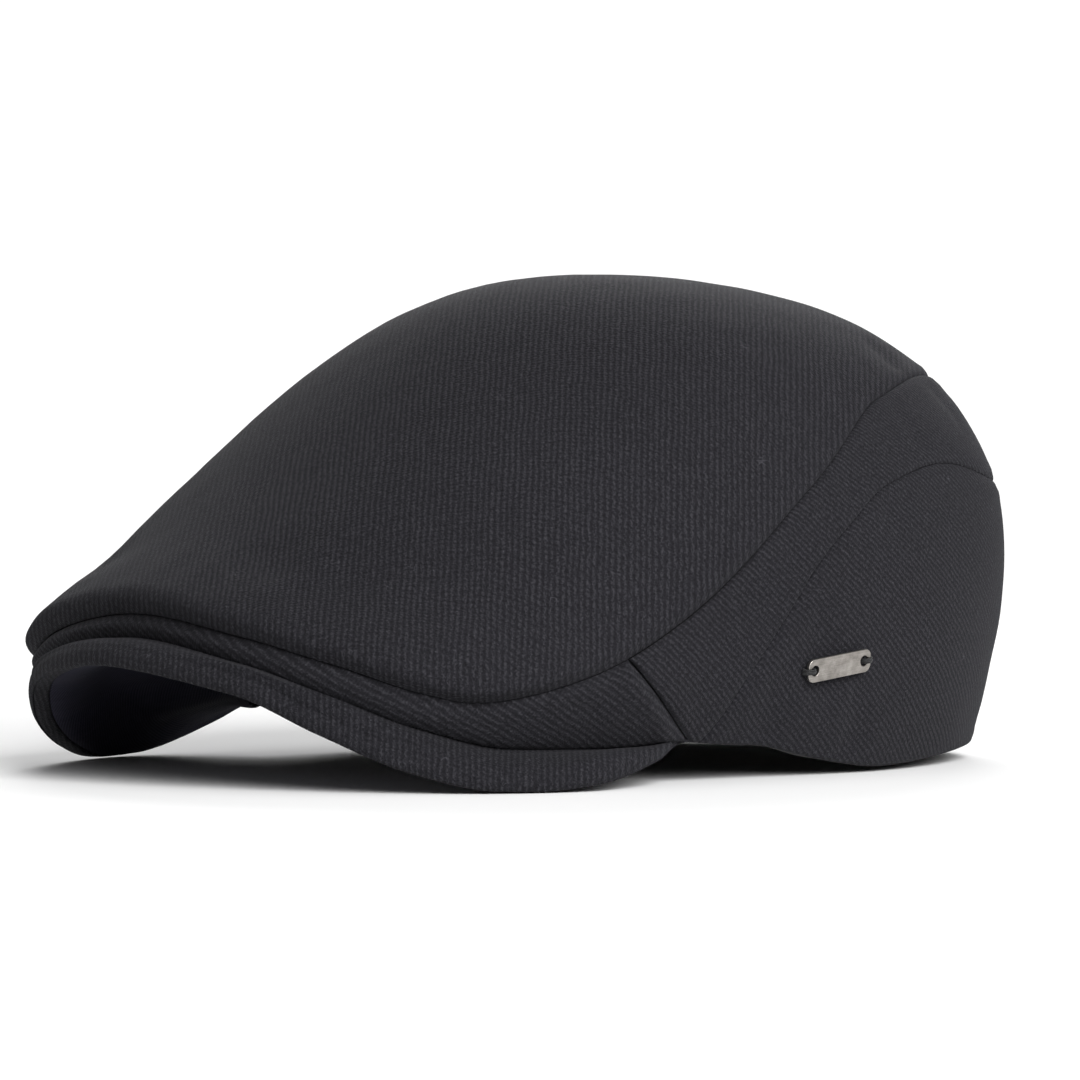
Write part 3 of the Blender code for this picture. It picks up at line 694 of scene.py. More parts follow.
def visor_top(finish):
    half = np.concatenate([np.linspace(0, 70, 62), np.linspace(70, VISOR_TIP, 26)[1:]])
    angles = np.concatenate([-half[:0:-1], half])
    inner, hem, lip, edge, z_hem, top, foot, tip = visor_edges(angles)
    blunt, thin = 1 - tip, np.minimum(edge / VISOR_EDGE, 1)
    rows = [visor_layer(angles, inner + (hem - inner) * t, 0) for t in (0.25, 0.5, 0.75, 0.9)]
    wide = np.maximum(lip - 0.0019 * blunt - hem, 0.0001)
    wave = 0.00022 * soft_noise(around(angles, hem, z_hem), 0.03, 5)
    for s in np.concatenate([[0, 0.03, 0.08, 0.15], np.linspace(0.24, 0.9, 8), [0.97]]):
        bow = (0.0007 * np.sin(np.pi * s) ** 0.8 + wave * np.sin(np.pi * s)) * blunt
        rows.append(around(angles, hem + wide * s, z_hem + (top - z_hem) * s + bow))
    for out, down in RIM_PROFILE:
        rows.append(around(angles, lip + (out - 0.9) * 0.001 * blunt * thin, top - (top - foot) * down))
    outer = np.stack(rows, 1)
    first, last = 12, len(rows) - 14   # the rows across the top face and over the edge
    for _ in range(3):
        outer[:, first:last] = (outer[:, first - 1:last - 1] + 2 * outer[:, first:last]
                                + outer[:, first + 1:last + 1]) / 4
    inward = outer - grid_normals(outer, 6, 1) * (VISOR_THICK * (1 - 0.62 * tip))[:, None, None]
    slab("cloth_visor_top", outer, inward, strip_uv(around(angles, lip, 0), outer), finish,
         "visor_twill", "visor_top_cover")
    return angles[np.abs(angles) < UNDER_END]


def visor_under(angles, finish):
    inner, hem, lip, edge, z_hem, top, foot, tip = visor_edges(angles)
    a = np.abs(angles)
    rim = lip - (0.0058 - 0.0046 * tip) * np.minimum(edge / VISOR_EDGE + 0.15, 1)
    lower = foot + 0.00042 * (1 - 0.8 * tip)
    rows = [around(angles, rim + out * 0.001, lower + lift * (1 - tip))
            for out, lift in ((0.0, 0.0009), (-0.08, 0.0005), (-0.25, 0.00015), (-0.6, 0.0))]
    start = rim - 0.0006
    crease = 0.00018 * soft_noise(around(angles, hem, z_hem), 0.022, 8) - 0.00025
    deep = 0.0034 - 0.0016 * ease((a - 45) / 12) - 0.0005 * ease((a - 76) / 8)
    for s in np.linspace(0.06, 1, 22):
        reach = start + (inner + 0.0002 - start) * s
        on = visor_layer(angles, reach, edge + (deep - edge) * ease(s / 0.4))[:, 2] + 0.0002
        z = lower + (on - lower) * ease(s / 0.3)
        rows.append(around(angles, reach, z + crease * np.sin(np.pi * s)))
    outer = np.stack(rows, 1)
    slab("cloth_visor_under", outer, outer - grid_normals(outer, 12, -1) * UNDER_THICK,
         strip_uv(around(angles, hem, 0), outer), finish, "visor_lining", "visor_under_cover")


def visor_board(finish):
    angles = np.linspace(-BOARD_END, BOARD_END, 120)
    inner, hem, lip, edge, z_hem, top, foot, tip = visor_edges(angles)
    inner = inner + 0.0014
    layers = []
    for middle, sides in ((0.00125, 0.00075), (0.0020, 0.00115)):
        drop = middle + (sides - middle) * ease((np.abs(angles) - 45) / 12)
        rows = [visor_layer(angles, inner + (hem - inner) * t, drop)
                for t in np.concatenate([[0, 0.01, 0.03], np.linspace(0.08, 0.92, 14)])]
        rows += [around(angles, hem + (lip - 0.0036 - hem) * t, z_hem + (top - z_hem) * t - drop)
                 for t in (0.3, 0.6, 0.9, 0.98, 1.0)]
        layers.append(np.stack(rows, 1))
    slab("visor_board_sheet", *layers, layers[0][..., :2], finish, "visor_core", "visor_board")


# ---- inside ----------------------------------------------------------------------------------
def seamed(sink, base, level, rim, wide):
    """The sink of the lining, which comes up to the seam between its top and its sides."""
    seam = distance_to(base, lining_body(rim, level + 0 * rim))
    return sink * ease(seam / wide) - 0.0003 * (1 - ease(seam / 0.0014))


def lining(finish):
    rows = edged(np.linspace(0.06, 0.94, 30), 0.10)
    across = np.linspace(0.12, 179.88, 110)
    angle, level = np.meshgrid(across, rows * LINING_SIDE, indexing="ij")
    base = lining_body(angle, level)
    for where, sign, seed in (("left", 1, 51), ("right", -1, 61)):
        pleat = np.sin(np.radians(angle) * 34 + 1.4 * soft_noise(base, 0.05, seed))
        sink = (0.00035 + 0.00022 * pleat * np.exp(-level / 0.16)
                + 0.00028 * soft_noise(base, 0.035, seed + 1) * np.sin(np.pi * rows)[None])
        sink = seamed(np.maximum(sink, -0.00025), base, LINING_SIDE, across, 0.003)
        wrapped("lining_cloth_" + where, lining_body, angle, level, sink, sink + LINING_THICK,
                np.stack([angle * 0.00165, level * 0.2], -1), finish, "lining_satin",
                "lining_side_" + where, sign < 0)

    spots = edged(np.linspace(-0.94, 0.94, 56), 0.09, -1)
    angle, level = np.moveaxis(disc_at(lambda a: LINING_TOP + 0 * a, spots, spots), -1, 0)
    base = lining_body(angle, level)
    sink = seamed(0.0005 + 0.0004 * soft_noise(base, 0.04, 71), base, LINING_TOP,
                  np.linspace(-180, 180, 721), 0.005)
    wrapped("lining_cloth_top", lining_body, angle, level, sink, sink + LINING_THICK, base[..., :2],
            finish, "lining_satin", "lining_top")


def band_face(angle, heights, depth):
    """Points of a strip inside the lining, at heights up from its lower edge and a depth below it."""
    steps = np.linspace(0, 1, 161)
    run = lengths(lining_body(angle[:, None], steps[None]), 1)
    level = np.array([np.interp(heights, line, steps) for line in run])
    turn = np.repeat(angle[:, None], len(heights), 1)
    depth = np.broadcast_to(depth, turn.shape)[..., None]
    return lining_body(turn, level) - depth * normals(lining_body, turn, level)[0]


def gathers(angle, heights):
    """The elastic stands the back of the sweatband out in folds; the rest only ripples."""
    turn, back = np.radians(angle), ease((from_front(angle) - 132) / 22)
    folds = np.sin(turn * 118 + 0.8 * np.sin(heights * 300 + turn * 9))
    return (0.00038 * back + 0.00034 * back * folds) + 0.00012 * np.sin(turn * 23 + heights * 90)


def even_uv(angle, heights):
    return np.stack(np.meshgrid(angle * 0.0015, heights, indexing="ij"), -1)


def sweatband(finish, thread):
    angle = np.linspace(-180, 180, 361)[:-1]
    ends = EDGE_STEPS[:6]
    heights = np.concatenate([ends, np.linspace(0.0022, SWEATBAND_HEIGHT - 0.0022, 15),
                              SWEATBAND_HEIGHT - ends[::-1]])
    edge = rolled(np.minimum(heights, SWEATBAND_HEIGHT - heights), 0.00038, 0.0009)[None]
    waves = gathers(angle[:, None], heights[None])
    slab("sweatband_cloth_ring", band_face(angle, heights, LINING + BAND_DEPTH + edge + waves),
         band_face(angle, heights, LINING + BAND_DEPTH + SWEATBAND - edge + waves),
         even_uv(angle, heights), finish, "sweatband_cloth", "sweatband", ring=True)

    count = 168
    at = (np.arange(count) + 0.5) / count * 360 - 180
    for where, height in (("upper", SWEATBAND_HEIGHT - 0.0024), ("lower", 0.0024)):
        depth = (LINING + BAND_DEPTH + SWEATBAND + gathers(at, height))[:, None]
        middle, before, after, deeper = (
            band_face(at + turn, np.array([height]), depth + more)[:, 0]
            for turn, more in ((0, 0), (-0.2, 0), (0.2, 0), (0, 0.001)))
        stitching("sweatband_stitches_" + where, middle, after - before, deeper - middle, 0.0023,
                  0.00016, thread)


def stitching(name, middles, along, out, length, radius, finish):
    """A row of short threads that rise out of the cloth and dive back in."""
    along = along / np.linalg.norm(along, axis=1)[:, None]
    out = out - along * (out * along).sum(1)[:, None]
    out = out / np.linalg.norm(out, axis=1)[:, None]
    rings, sides = 7, 6
    t = np.linspace(-1, 1, rings)
    turn = np.linspace(0, 2 * np.pi, sides + 1)[:-1]
    size = radius * np.sqrt(np.maximum(1 - (np.abs(t) ** 6), 0.04))
    lift = radius * (0.75 - 1.5 * t ** 4)
    verts, faces = [], []
    for k, (m, a, o, s) in enumerate(zip(middles, along, out, np.cross(along, out))):
        for i in range(rings):
            centre = m + a * t[i] * length / 2 + o * lift[i]
            verts.append(centre + size[i] * (np.cos(turn)[:, None] * o + np.sin(turn)[:, None] * s))
        base = k * rings * sides
        for low in range(base, base + (rings - 1) * sides, sides):
            for j in range(sides):
                n = (j + 1) % sides
                faces.append((low + j, low + n, low + sides + n, low + sides + j))
        faces.append(tuple(range(base, base + sides))[::-1])
        faces.append(tuple(range(base + (rings - 1) * sides, base + rings * sides)))
    uv = np.stack([np.repeat(np.tile(t, len(middles)), sides) * length / 2,
                   np.tile(turn * radius, rings * len(middles))], -1)
    solid(name, settled(np.concatenate(verts)), faces, uv, finish)


def small_inside(finishes):
    # Elastic: a ribbed webbing behind the sweatband.
    angle, heights = np.linspace(146.2, 213.8, 150), np.linspace(0.0042, 0.0258, 45)
    ribs = (0.00007 * np.sin(heights / 0.0012 * 2 * np.pi)[None]
            + 0.00004 * np.sin(angle * 9)[:, None])
    edge = rolled(np.minimum(heights - heights[0], heights[-1] - heights), 0.0002, 0.0005)[None]
    depth = LINING + ELASTIC_DEPTH + ribs
    slab("elastic_webbing", band_face(angle, heights, depth + 0.00008 + edge),
         band_face(angle, heights, depth + ELASTIC - 0.00008 - edge), even_uv(angle, heights),
         finishes["elastic"], "elastic_web", "elastic_insert")

    # Tape over the back seam, between cloth and lining.
    turn, up = np.meshgrid(np.linspace(176.75, 183.25, 15), np.linspace(0.115, 0.535, 90), indexing="ij")
    bead = 0.00008 * np.cos((turn - 180) * 2.6)
    wrapped("back_tape", body, turn, up, TAPE_DEPTH + 0.00008 - bead, TAPE_DEPTH + TAPE - bead,
            np.stack([(turn - 180) * 0.0016, up * 0.2], -1), finishes["tape"], "seam_tape",
            "back_seam_tape")

    # Woven label on the lining at the back, turned under at both ends and stitched down.
    depth = LINING + ELASTIC_DEPTH
    (left, right), (low, high) = ends = (166.3, 193.7), (0.5215, 0.6235)
    turn, up = np.meshgrid(np.linspace(*ends[0], 60), np.linspace(*ends[1], 30), indexing="ij")
    edge = rolled(np.minimum(np.minimum(turn - left, right - turn) * 0.0013,
                             np.minimum(up - low, high - up) * 0.17), 0.00016, 0.0005)
    wave = 0.0001 * soft_noise(lining_body(turn, up), 0.012, 81)
    wrapped("label_cloth", lining_body, turn, up, depth + 0.00012 + wave, depth + 0.00052 - edge + wave,
            np.stack([(turn - 180) * 0.0013, up * 0.17], -1), finishes["label"], "label_weave",
            "lining_label")
    inset, rise_in = 0.9, 0.0075
    border = []
    for a in np.linspace(left + inset, right - inset, 12):
        border += [(a, low + rise_in, 0.4, 0), (a, high - rise_in, 0.4, 0)]
    for u in np.linspace(low + rise_in * 1.7, high - rise_in * 1.7, 5):
        border += [(left + inset, u, 0, 0.002), (right - inset, u, 0, 0.002)]
    a, u, more_a, more_u = np.array(border).T
    middle, n = lining_body(a, u), normals(lining_body, a, u)[0]
    stitching("label_stitches", middle - n * (depth + 0.0006), lining_body(a + more_a, u + more_u) - middle,
              -n, 0.0019, 0.00014, finishes["thread"])

    # Care label: a blank satin tape that hangs up from the sweatband.
    angle, heights = np.linspace(118.2, 124.8, 26), np.linspace(0.0347, 0.0583, 40)
    curl = 0.0007 * ease((heights - 0.050) / 0.008)[None] + 0.00012 * np.sin(angle * 2.1)[:, None]
    slab("care_label_tape", band_face(angle, heights, depth + curl),
         band_face(angle, heights, depth + 0.00028 + curl), even_uv(angle, heights),
         finishes["care"], "care_tape", "care_label")


# ---- badge -----------------------------------------------------------------------------------
def badge_frame():
    """Axes of the plate: X along it, Y up it and Z out of the cloth, centred on the CAD plate."""
    low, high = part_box("badge_plate")
    out = Vector(normals(body, np.array(BADGE_ANGLE), np.array(BADGE_LEVEL))[0])
    along = Vector((0, 1, 0))
    along = (along - along.dot(out) * out).normalized()
    up = out.cross(along)
    if up.z < 0:
        up = -up
    along = (Matrix.Rotation(np.radians(BADGE_TILT), 3, along.cross(up)) @ along).normalized()
    up = out.cross(along)
    if up.z < 0:
        up, along = -up, along
    place = Matrix.Identity(4)
    for column, axis in enumerate((along, up, out)):
        place.col[column][:3] = axis
    place.translation = (low + high) / 2
    return place


def rounded_outline(length, width, corner, count=10):
    points = []
    for cx, cy, start in ((1, 1, 0), (-1, 1, 90), (-1, -1, 180), (1, -1, 270)):
        for k in range(count + 1):
            turn = np.radians(start + 90 * k / count)
            points.append((cx * (length / 2 - corner) + corner * np.cos(turn),
                           cy * (width / 2 - corner) + corner * np.sin(turn)))
    return points


def drawn(made):
    now = made.evaluated_get(bpy.context.evaluated_depsgraph_get())
    return bpy.data.meshes.new_from_object(now)


def from_curve(curve, name, finish, place, stands_for):
    """A curve turned into a closed mesh and set in its place on the cloth."""
    made = linked("rough", curve)
    mesh = drawn(made)
    bpy.data.objects.remove(made)
    mesh.name = name
    mesh.materials.clear()
    mesh.materials.append(finish)
    made = linked(name, mesh)
    made.modifiers.new("weld", "WELD").merge_threshold = 2e-6
    mesh = drawn(made)
    made.modifiers.clear()
    made.data = mesh
    made.matrix_world = place
    keep(made, [stands_for])
    return mesh


def new_curve(name, dimensions, bevel):
    curve = bpy.data.curves.new(name, "CURVE")
    curve.dimensions = dimensions
    curve.bevel_depth = bevel
    curve.bevel_resolution = 3
    return curve


# The turns of thread at a hole: millimetres up the plate at the start and end, and extra height.
THREAD_TURNS = ((-0.42, -0.62, 0), (-0.05, 0.1, 0.00016), (0.34, 0.55, 0.00003), (0.05, -0.25, 0.0003))


def badge(finishes):
    place, bevel = badge_frame(), 0.00016
    curve = new_curve("plate", "2D", bevel)
    curve.fill_mode = "BOTH"
    curve.extrude = BADGE_THICKNESS / 2 - bevel
    curve.offset = -bevel
    end = BADGE_LENGTH / 2
    hole = end - BADGE_HOLE_INSET
    holes = [[(sign * hole + BADGE_HOLE * np.cos(t), BADGE_HOLE * np.sin(t))
              for t in np.linspace(0, 2 * np.pi, 41)[:-1]] for sign in (-1, 1)]
    for outline in [rounded_outline(BADGE_LENGTH, BADGE_WIDTH, BADGE_CORNER)] + holes:
        line = curve.splines.new("POLY")
        line.points.add(len(outline) - 1)
        line.use_cyclic_u = True
        for point, (x, y) in zip(line.points, outline):
            point.co = (x, y, 0, 1)
    mesh = from_curve(curve, "badge_metal_plate", finishes["metal"], place, "badge_plate")
    for face in mesh.polygons:
        face.use_smooth = abs(face.normal.z) < 0.999

    half = BADGE_THICKNESS / 2
    for where, sign in (("front", -1), ("rear", 1)):
        curve = new_curve("thread", "3D", 0.00021)
        curve.resolution_u = 8
        curve.use_fill_caps = True
        for y0, y1, lift in THREAD_TURNS:
            path = ((hole - 0.0002, -half - 0.0004), (hole + 0.0003, half + 0.00022 + lift),
                    (end - 0.00035, half + 0.0003 + lift), (end + 0.00038, half - 0.0001),
                    (end + 0.00062, -half - 0.0007))
            line = curve.splines.new("BEZIER")
            line.bezier_points.add(len(path) - 1)
            for i, (point, (x, z)) in enumerate(zip(line.bezier_points, path)):
                t = i / (len(path) - 1)
                point.co = (sign * x, (y0 + (y1 - y0) * t) * 0.001, z)
                point.handle_left_type = point.handle_right_type = "AUTO"
        from_curve(curve, "badge_thread_turns_" + where, finishes["thread"], place,
                   "badge_thread_" + where)


# ---- materials -------------------------------------------------------------------------------
def grey(value):
    return value, value, value


class Graph:
    """A material's nodes, built from its principled shader backwards."""

    def __init__(self, name):
        self.material = bpy.data.materials.new(name)
        self.material.use_nodes = True
        self.tree = self.material.node_tree
        self.tree.nodes.clear()
        self.shader = self.add("BsdfPrincipled")
        self.add("OutputMaterial", self.shader.outputs[0])

    def add(self, kind, *values, **settings):
        node = self.tree.nodes.new("ShaderNode" + kind)
        for key, value in settings.items():
            setattr(node, key, value)
        for socket, value in zip(node.inputs, values):
            self.put(socket, value)
        return node

    def put(self, socket, value):
        if isinstance(value, bpy.types.NodeSocket):
            self.tree.links.new(value, socket)
        else:
            socket.default_value = value

    def fill(self, node, **values):
        for name, value in values.items():
            self.put(node.inputs[name.replace("_", " ")], value)
        return node

    def set(self, **values):
        self.fill(self.shader, **values)

    def math(self, operation, *values):
        return self.add("Math", *values, operation=operation).outputs[0]

    def times(self, *values):
        return self.math("MULTIPLY", *values)

    def more(self, *values):
        return self.math("MULTIPLY_ADD", *values)

    def vector(self, operation, *values):
        made = self.add("VectorMath", *values, operation=operation)
        return made.outputs["Value" if operation == "DOT_PRODUCT" else "Vector"]

    def place(self, kind):
        if kind == "uv":
            return self.add("UVMap", uv_map="UVMap").outputs[0]
        return self.add("TexCoord").outputs["Object"]

    def noise(self, place, scale, detail=2.0, roughness=0.5, colour=False):
        node = self.fill(self.add("TexNoise"), Vector=place, Scale=scale, Detail=detail, Roughness=roughness)
        return node.outputs["Color" if colour else "Fac"]

    def shaken(self, place, scale, detail, by):
        """The place moved a little every way by a noise."""
        noise = self.noise(place, scale, detail, colour=True)
        return self.vector("MULTIPLY_ADD", noise, grey(by), grey(-by / 2))

    def wave(self, phase):
        """From 0 to 1 and back once for every whole step of the phase."""
        return self.more(self.math("SINE", self.times(phase, 2 * np.pi)), 0.5, 0.5)

    def across(self, place, direction, pitch):
        turn = np.radians(direction)
        return self.vector("DOT_PRODUCT", place, (np.cos(turn) / pitch, np.sin(turn) / pitch, 0.0))

    def span(self, value, low, high, to_low=0.0, to_high=1.0):
        return self.add("MapRange", value, low, high, to_low, to_high, clamp=True).outputs[0]

    def mix(self, factor, a, b, blend="MIX"):
        node = self.add("Mix", data_type="RGBA", blend_type=blend)
        for socket, value in ((0, factor), (6, a), (7, b)):
            self.put(node.inputs[socket], value)
        return node.outputs[2]

    def shaded(self, colour, tone):
        return self.mix(1.0, colour, self.add("CombineColor", tone, tone, tone).outputs[0], "MULTIPLY")

    def ramp(self, value, *stops):
        node = self.add("ValToRGB", value)
        elements = node.color_ramp.elements
        while len(elements) < len(stops):
            elements.new(0.5)
        for element, (at, colour) in zip(elements, stops):
            element.position, element.color = at, (*colour, 1)
        return node.outputs[0]

    def bump(self, height, strength, distance):
        node = self.fill(self.add("Bump"), Strength=strength, Distance=distance, Height=height)
        self.set(Normal=node.outputs[0])
        return self.material


def lit(colour, by):
    return [c * by for c in colour]


def twill(name, kind, slant, pitch, dark, light, stretch=0.5):
    """Brushed twill: broken ribs of uneven yarn crossed by the weft, with a soft nap and hairs."""
    g = Graph(name)
    flat = g.place(kind)
    drift, shake = g.shaken(flat, 95, 2, 0.0011), g.shaken(flat, 1300, 1, 0.0008)
    place = g.vector("ADD", g.vector("ADD", flat, drift), shake)
    rib, bead, weft = (g.wave(g.across(place, slant + turn, pitch * part))
                       for turn, part in ((0, 1), (68, 0.62), (93, 0.55)))
    yarn_place = g.add("CombineXYZ", g.across(flat, slant, 1.0), g.across(flat, slant + 90, 1.0 / stretch),
                       g.vector("DOT_PRODUCT", flat, (0.0, 0.0, 1.0))).outputs[0]
    fibre = g.span(g.noise(yarn_place, 2100, 2, 0.6), 0.33, 0.67)
    clump = g.span(g.noise(yarn_place, 900, 1), 0.3, 0.7)
    yarn = g.times(rib, g.more(bead, 0.35, 0.65))
    height = g.more(weft, 0.13, g.times(yarn, 0.20))
    height = g.more(fibre, g.more(rib, 0.34, 0.22), height)
    height = g.more(clump, 0.14, height)
    tone = g.span(height, 0.08, 0.88)
    colour = g.ramp(tone, (0.0, lit(dark, 0.55)), (0.42, dark), (1.0, light))
    patch = g.times(g.noise(flat, 26, 3, 0.55), 0.5)
    colour = g.shaded(colour, g.span(g.more(g.noise(flat, 9), 0.5, patch), 0.3, 0.7, 0.90, 1.10))
    speck = g.times(g.span(g.noise(flat, 2600, 1, 0.4), 0.73, 0.79), g.span(tone, 0.3, 0.8))
    colour = g.mix(speck, colour, lit(light, 2.6) + [1])
    off = g.math("ABSOLUTE", g.math("SUBTRACT", g.noise(flat, 520, 0, 0.0), 0.5))
    hair = g.times(g.span(off, 0.005, 0.016, 0.8, 0.0), g.span(g.noise(flat, 170, 1), 0.72, 0.74))
    colour = g.mix(hair, colour, lit(light, 1.9) + [1])
    g.set(Base_Color=colour, Roughness=g.span(tone, 0, 1, 0.97, 0.84), Specular_IOR_Level=0.12,
          Sheen_Weight=0.03, Sheen_Roughness=0.45, Sheen_Tint=(0.92, 0.92, 1.0, 1))
    return g.bump(height, 0.75, 0.00045)


def smooth_cloth(name, dark, light, pitch, slant, roughness, sheen, strength=0.35, specular=0.35):
    """A flat woven cloth: warp and weft yarns, faint slubs and uneven tone."""
    g = Graph(name)
    flat = g.place("uv")
    drift = g.vector("MULTIPLY", g.noise(flat, 70, 2, colour=True), grey(0.0009))
    place = g.vector("ADD", flat, drift)
    warp, weft = (g.wave(g.across(place, slant + turn, pitch)) for turn in (0, 90))
    slub = g.noise(g.vector("MULTIPLY", flat, (1.0, 0.15, 1.0)), 600)
    height = g.more(warp, 0.35, g.times(weft, 0.3))
    height = g.more(g.noise(flat, 1800, 2, 0.6), 0.25, height)
    height = g.more(slub, 0.2, height)
    tone = g.span(height, 0.2, 0.95)
    colour = g.ramp(tone, (0.0, lit(dark, 0.5)), (0.5, dark), (1.0, light))
    colour = g.shaded(colour, g.span(g.noise(flat, 30, 3, 0.55), 0.3, 0.7, 0.86, 1.14))
    g.set(Base_Color=colour, Roughness=g.span(tone, 0, 1, roughness + 0.08, roughness - 0.06),
          Specular_IOR_Level=specular, Sheen_Weight=sheen, Sheen_Roughness=0.4)
    return g.bump(height, strength, 0.0002)


def metal():
    """Warm grey plate, brushed along its length, paler where handling has polished the rim."""
    g = Graph("badge_metal_brushed")
    flat = g.place("object")
    brushed = g.noise(g.vector("MULTIPLY", flat, (0.03, 1.0, 1.0)), 9000, 3, 0.6)
    fine = g.noise(g.vector("MULTIPLY", flat, (0.08, 1.0, 1.0)), 22000, 1)
    grain = g.more(brushed, 0.6, g.times(fine, 0.4))
    tone = g.more(g.noise(flat, 420, 3, 0.6), 0.45, g.times(grain, 0.55))
    colour = g.ramp(g.span(tone, 0.32, 0.68), (0.0, (0.16, 0.148, 0.136)), (0.5, (0.29, 0.27, 0.25)),
                    (1.0, (0.44, 0.415, 0.385)))
    edge = g.span(g.add("NewGeometry").outputs["Pointiness"], 0.52, 0.60)
    colour = g.mix(edge, colour, (0.62, 0.60, 0.57, 1))
    g.set(Base_Color=colour, Metallic=1.0, Roughness=g.span(tone, 0.3, 0.7, 0.46, 0.30))
    return g.bump(grain, 0.25, 0.00003)


def thread_finish():
    g = Graph("sewing_thread")
    ply = g.wave(g.across(g.place("uv"), 38, 0.0005))
    fibre = g.noise(g.place("object"), 5200, 2, 0.6)
    height = g.more(ply, 0.6, g.times(fibre, 0.4))
    colour = g.ramp(height, (0.0, (0.003, 0.003, 0.0035)), (0.5, (0.008, 0.008, 0.009)),
                    (1.0, (0.024, 0.024, 0.026)))
    g.set(Base_Color=colour, Roughness=g.span(height, 0, 1, 0.75, 0.5), Specular_IOR_Level=0.4,
          Sheen_Weight=0.1)
    return g.bump(height, 0.5, 0.00008)


def board_finish():
    g = Graph("visor_board_plastic")
    flat = g.place("object")
    pits = g.noise(flat, 2200)
    g.set(Base_Color=g.ramp(g.noise(flat, 300, 4, 0.6), (0.3, (0.018, 0.018, 0.019)),
                            (0.7, (0.032, 0.032, 0.034))), Roughness=g.span(pits, 0.3, 0.7, 0.42, 0.6))
    return g.bump(pits, 0.3, 0.0001)


def floor_finish():
    g = Graph("pale_floor")
    tone = g.noise(g.place("object"), 3)
    g.set(Base_Color=g.ramp(tone, (0.3, grey(0.90)), (0.7, grey(0.92))), Roughness=0.9,
          Specular_IOR_Level=0.1)
    return g.material


# Name: dark and light, pitch of the yarns, their slant, roughness, sheen, bump, specular.
SMOOTH_CLOTHS = {
    "under": ("visor_under_cloth", (0.0185, 0.0178, 0.0290), (0.0370, 0.0358, 0.0560), 0.0007, 20, 0.9,
              0.01, 0.35, 0.08),
    "lining": ("lining_satin_cloth", (0.010, 0.010, 0.012), (0.022, 0.022, 0.026), 0.0004, 8, 0.42,
               0.15, 0.2),
    "sweatband": ("sweatband_twill_tape", (0.008, 0.008, 0.010), (0.020, 0.020, 0.023), 0.0008, 45, 0.8,
                  0.15, 0.6),
    "elastic": ("elastic_webbing_cloth", (0.018, 0.018, 0.019), (0.042, 0.042, 0.044), 0.0006, 0, 0.7,
                0.1, 0.6),
    "tape": ("seam_tape_cloth", (0.012, 0.012, 0.013), (0.028, 0.028, 0.03), 0.0006, 0, 0.65, 0.1),
    "label": ("label_woven", (0.075, 0.075, 0.085), (0.17, 0.17, 0.185), 0.0004, 0, 0.5, 0.1, 0.4),
    "care": ("care_satin", (0.46, 0.46, 0.445), (0.68, 0.68, 0.66), 0.0003, 0, 0.4, 0.1, 0.25),
}


# ---- studio ----------------------------------------------------------------------------------
BACKDROP, AMBIENT, HORIZON = 1.1, 0.16, 2.0   # seen white, and the dimmer sky that lights the cap
FLOOR_RADIUS = 1.15
LIGHTS = (   # place, aim, width and watts
    ("key", (1.85, -0.35, 1.10), (0, 0, 0.03), 1.6, 70),
    ("overhead", (0.0, 0.1, 2.0), (0, 0, 0), 1.6, 6),
    ("behind", (1.0, 1.9, 1.0), (0, 0, 0.05), 1.2, 4),
    ("behind_left", (-1.6, 1.3, 1.1), (-0.5, 0.4, 0.0), 1.4, 36),
)
CAMERA_AZIMUTH, CAMERA_ELEVATION, CAMERA_DISTANCE = 52.0, 3.4, 1.30
CAMERA_TARGET = (0, -0.009, 0)
CAMERA_AIM_LEFT, CAMERA_AIM_UP = 0.0116, 0.0566
SENSOR = 36
CAMERA_LENS = SENSOR * 5063.5 / 1080


def backdrop():
    world = bpy.data.worlds.new("studio")
    bpy.context.scene.world = world
    world.use_nodes = True
    nodes, links = world.node_tree.nodes, world.node_tree.links

    def background(node, strength):
        node.inputs["Color"].default_value = (1, 1, 1, 1)
        node.inputs["Strength"].default_value = strength
        return node

    seen, light = nodes["Background"], nodes.new("ShaderNodeBackground")
    background(seen, BACKDROP)
    background(light, AMBIENT)
    place, part, fade, choose, path = (nodes.new("ShaderNode" + kind) for kind in (
        "TexCoord", "SeparateXYZ", "MapRange", "MixShader", "LightPath"))
    for name, value in (("From Min", -0.1), ("From Max", 0.6), ("To Min", HORIZON), ("To Max", 1.0)):
        fade.inputs[name].default_value = value
    for out, into in ((place.outputs["Generated"], part.inputs[0]), (part.outputs["Z"], fade.inputs["Value"]),
                      (fade.outputs[0], light.inputs["Color"]),
                      (path.outputs["Is Camera Ray"], choose.inputs[0]),
                      (light.outputs[0], choose.inputs[1]), (seen.outputs[0], choose.inputs[2]),
                      (choose.outputs[0], nodes["World Output"].inputs["Surface"])):
        links.new(out, into)


def turned_to(made, place, aim):
    made.location = place
    made.rotation_euler = (Vector(aim) - Vector(place)).to_track_quat("-Z", "Y").to_euler()


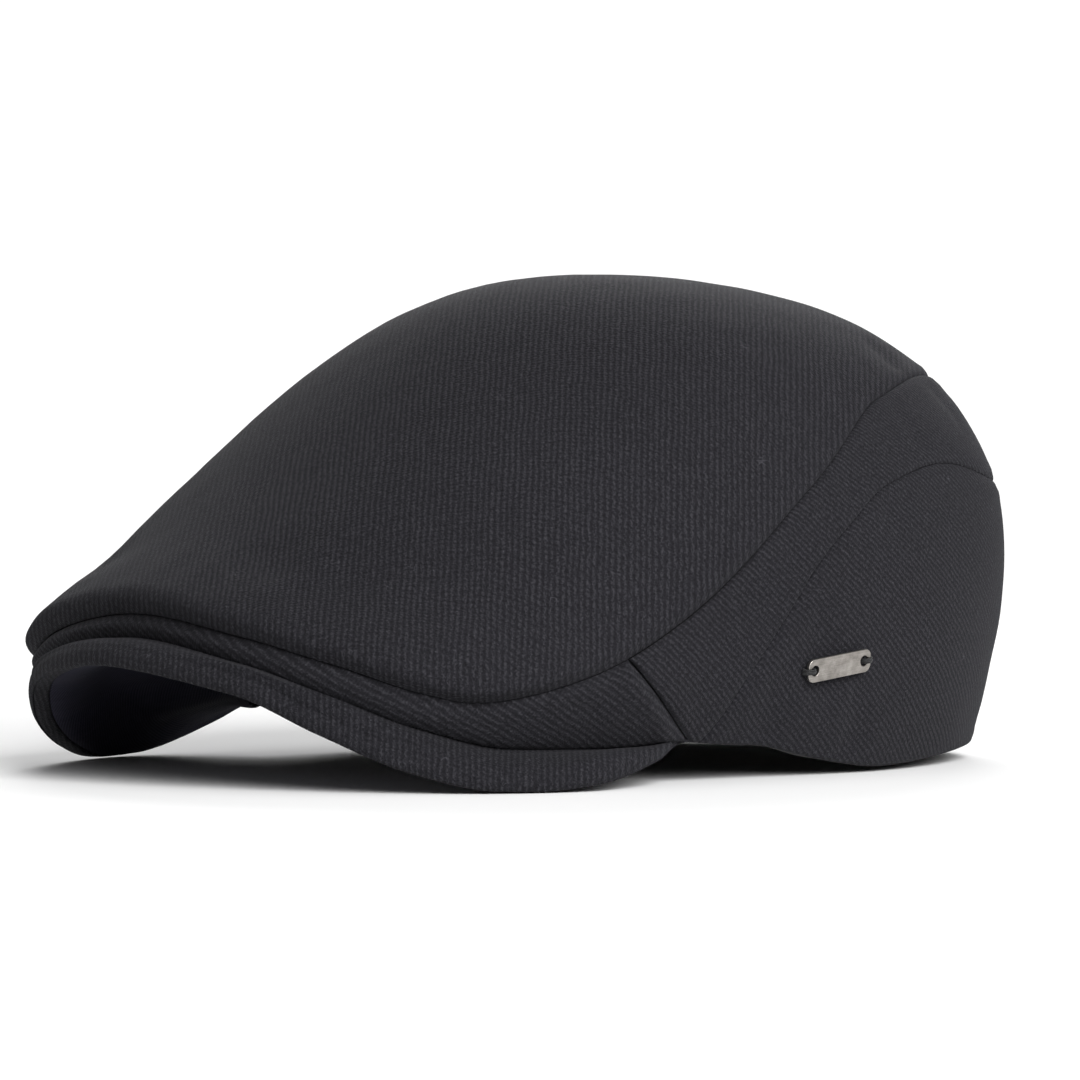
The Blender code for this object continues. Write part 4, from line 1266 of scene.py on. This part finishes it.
def stage_and_lights():
    low = min(CAD_BOX[0].z, 0.0) - 0.0003
    turns = np.linspace(0, 2 * np.pi, 97)[:-1]
    mesh = bpy.data.meshes.new("floor")
    mesh.from_pydata([(FLOOR_RADIUS * np.cos(t), FLOOR_RADIUS * np.sin(t), low) for t in turns], [],
                     [tuple(range(len(turns)))])
    mesh.materials.append(floor_finish())
    linked("floor", mesh)

    for name, place, aim, wide, power in LIGHTS:
        light = bpy.data.lights.new(name, "AREA")
        light.shape = "DISK"
        light.size, light.energy = wide, power
        turned_to(linked(name, light), place, aim)


def camera():
    turn, lift = np.radians(CAMERA_AZIMUTH), np.radians(CAMERA_ELEVATION)
    back = Vector((np.sin(turn) * np.cos(lift), -np.cos(turn) * np.cos(lift), np.sin(lift)))
    right = Vector((np.cos(turn), np.sin(turn), 0))
    data = bpy.data.cameras.new("camera")
    data.lens, data.sensor_width = CAMERA_LENS, SENSOR
    data.clip_start, data.clip_end = 0.05, 50
    eye, target = linked("camera", data), Vector(CAMERA_TARGET)
    turned_to(eye, target + back * CAMERA_DISTANCE,
              target - right * CAMERA_AIM_LEFT + back.cross(right) * CAMERA_AIM_UP)
    bpy.context.scene.camera = eye


def main():
    shades = (0.0122, 0.0118, 0.0145), (0.0315, 0.0308, 0.0358)
    finishes = {
        "top": twill("twill_top", "object", 50, 0.00143, *shades, 0.9),
        "side": twill("twill_side", "uv", 57, 0.00122, *shades),
        "band": twill("twill_band", "uv", 62, 0.00146, *shades),
        "visor": twill("twill_visor", "object", 52, 0.00140, *shades, 0.7),
        "metal": metal(), "thread": thread_finish(), "board": board_finish(),
    }
    for piece, values in SMOOTH_CLOTHS.items():
        finishes[piece] = smooth_cloth(*values)
    crown(finishes)
    under_angles = visor_top(finishes["visor"])
    visor_under(under_angles, finishes["under"])
    visor_board(finishes["board"])
    lining(finishes["lining"])
    sweatband(finishes["sweatband"], finishes["thread"])
    small_inside(finishes)
    badge(finishes)
    backdrop()
    stage_and_lights()
    camera()
    bpy.context.scene.view_settings.view_transform = "Standard"


main()
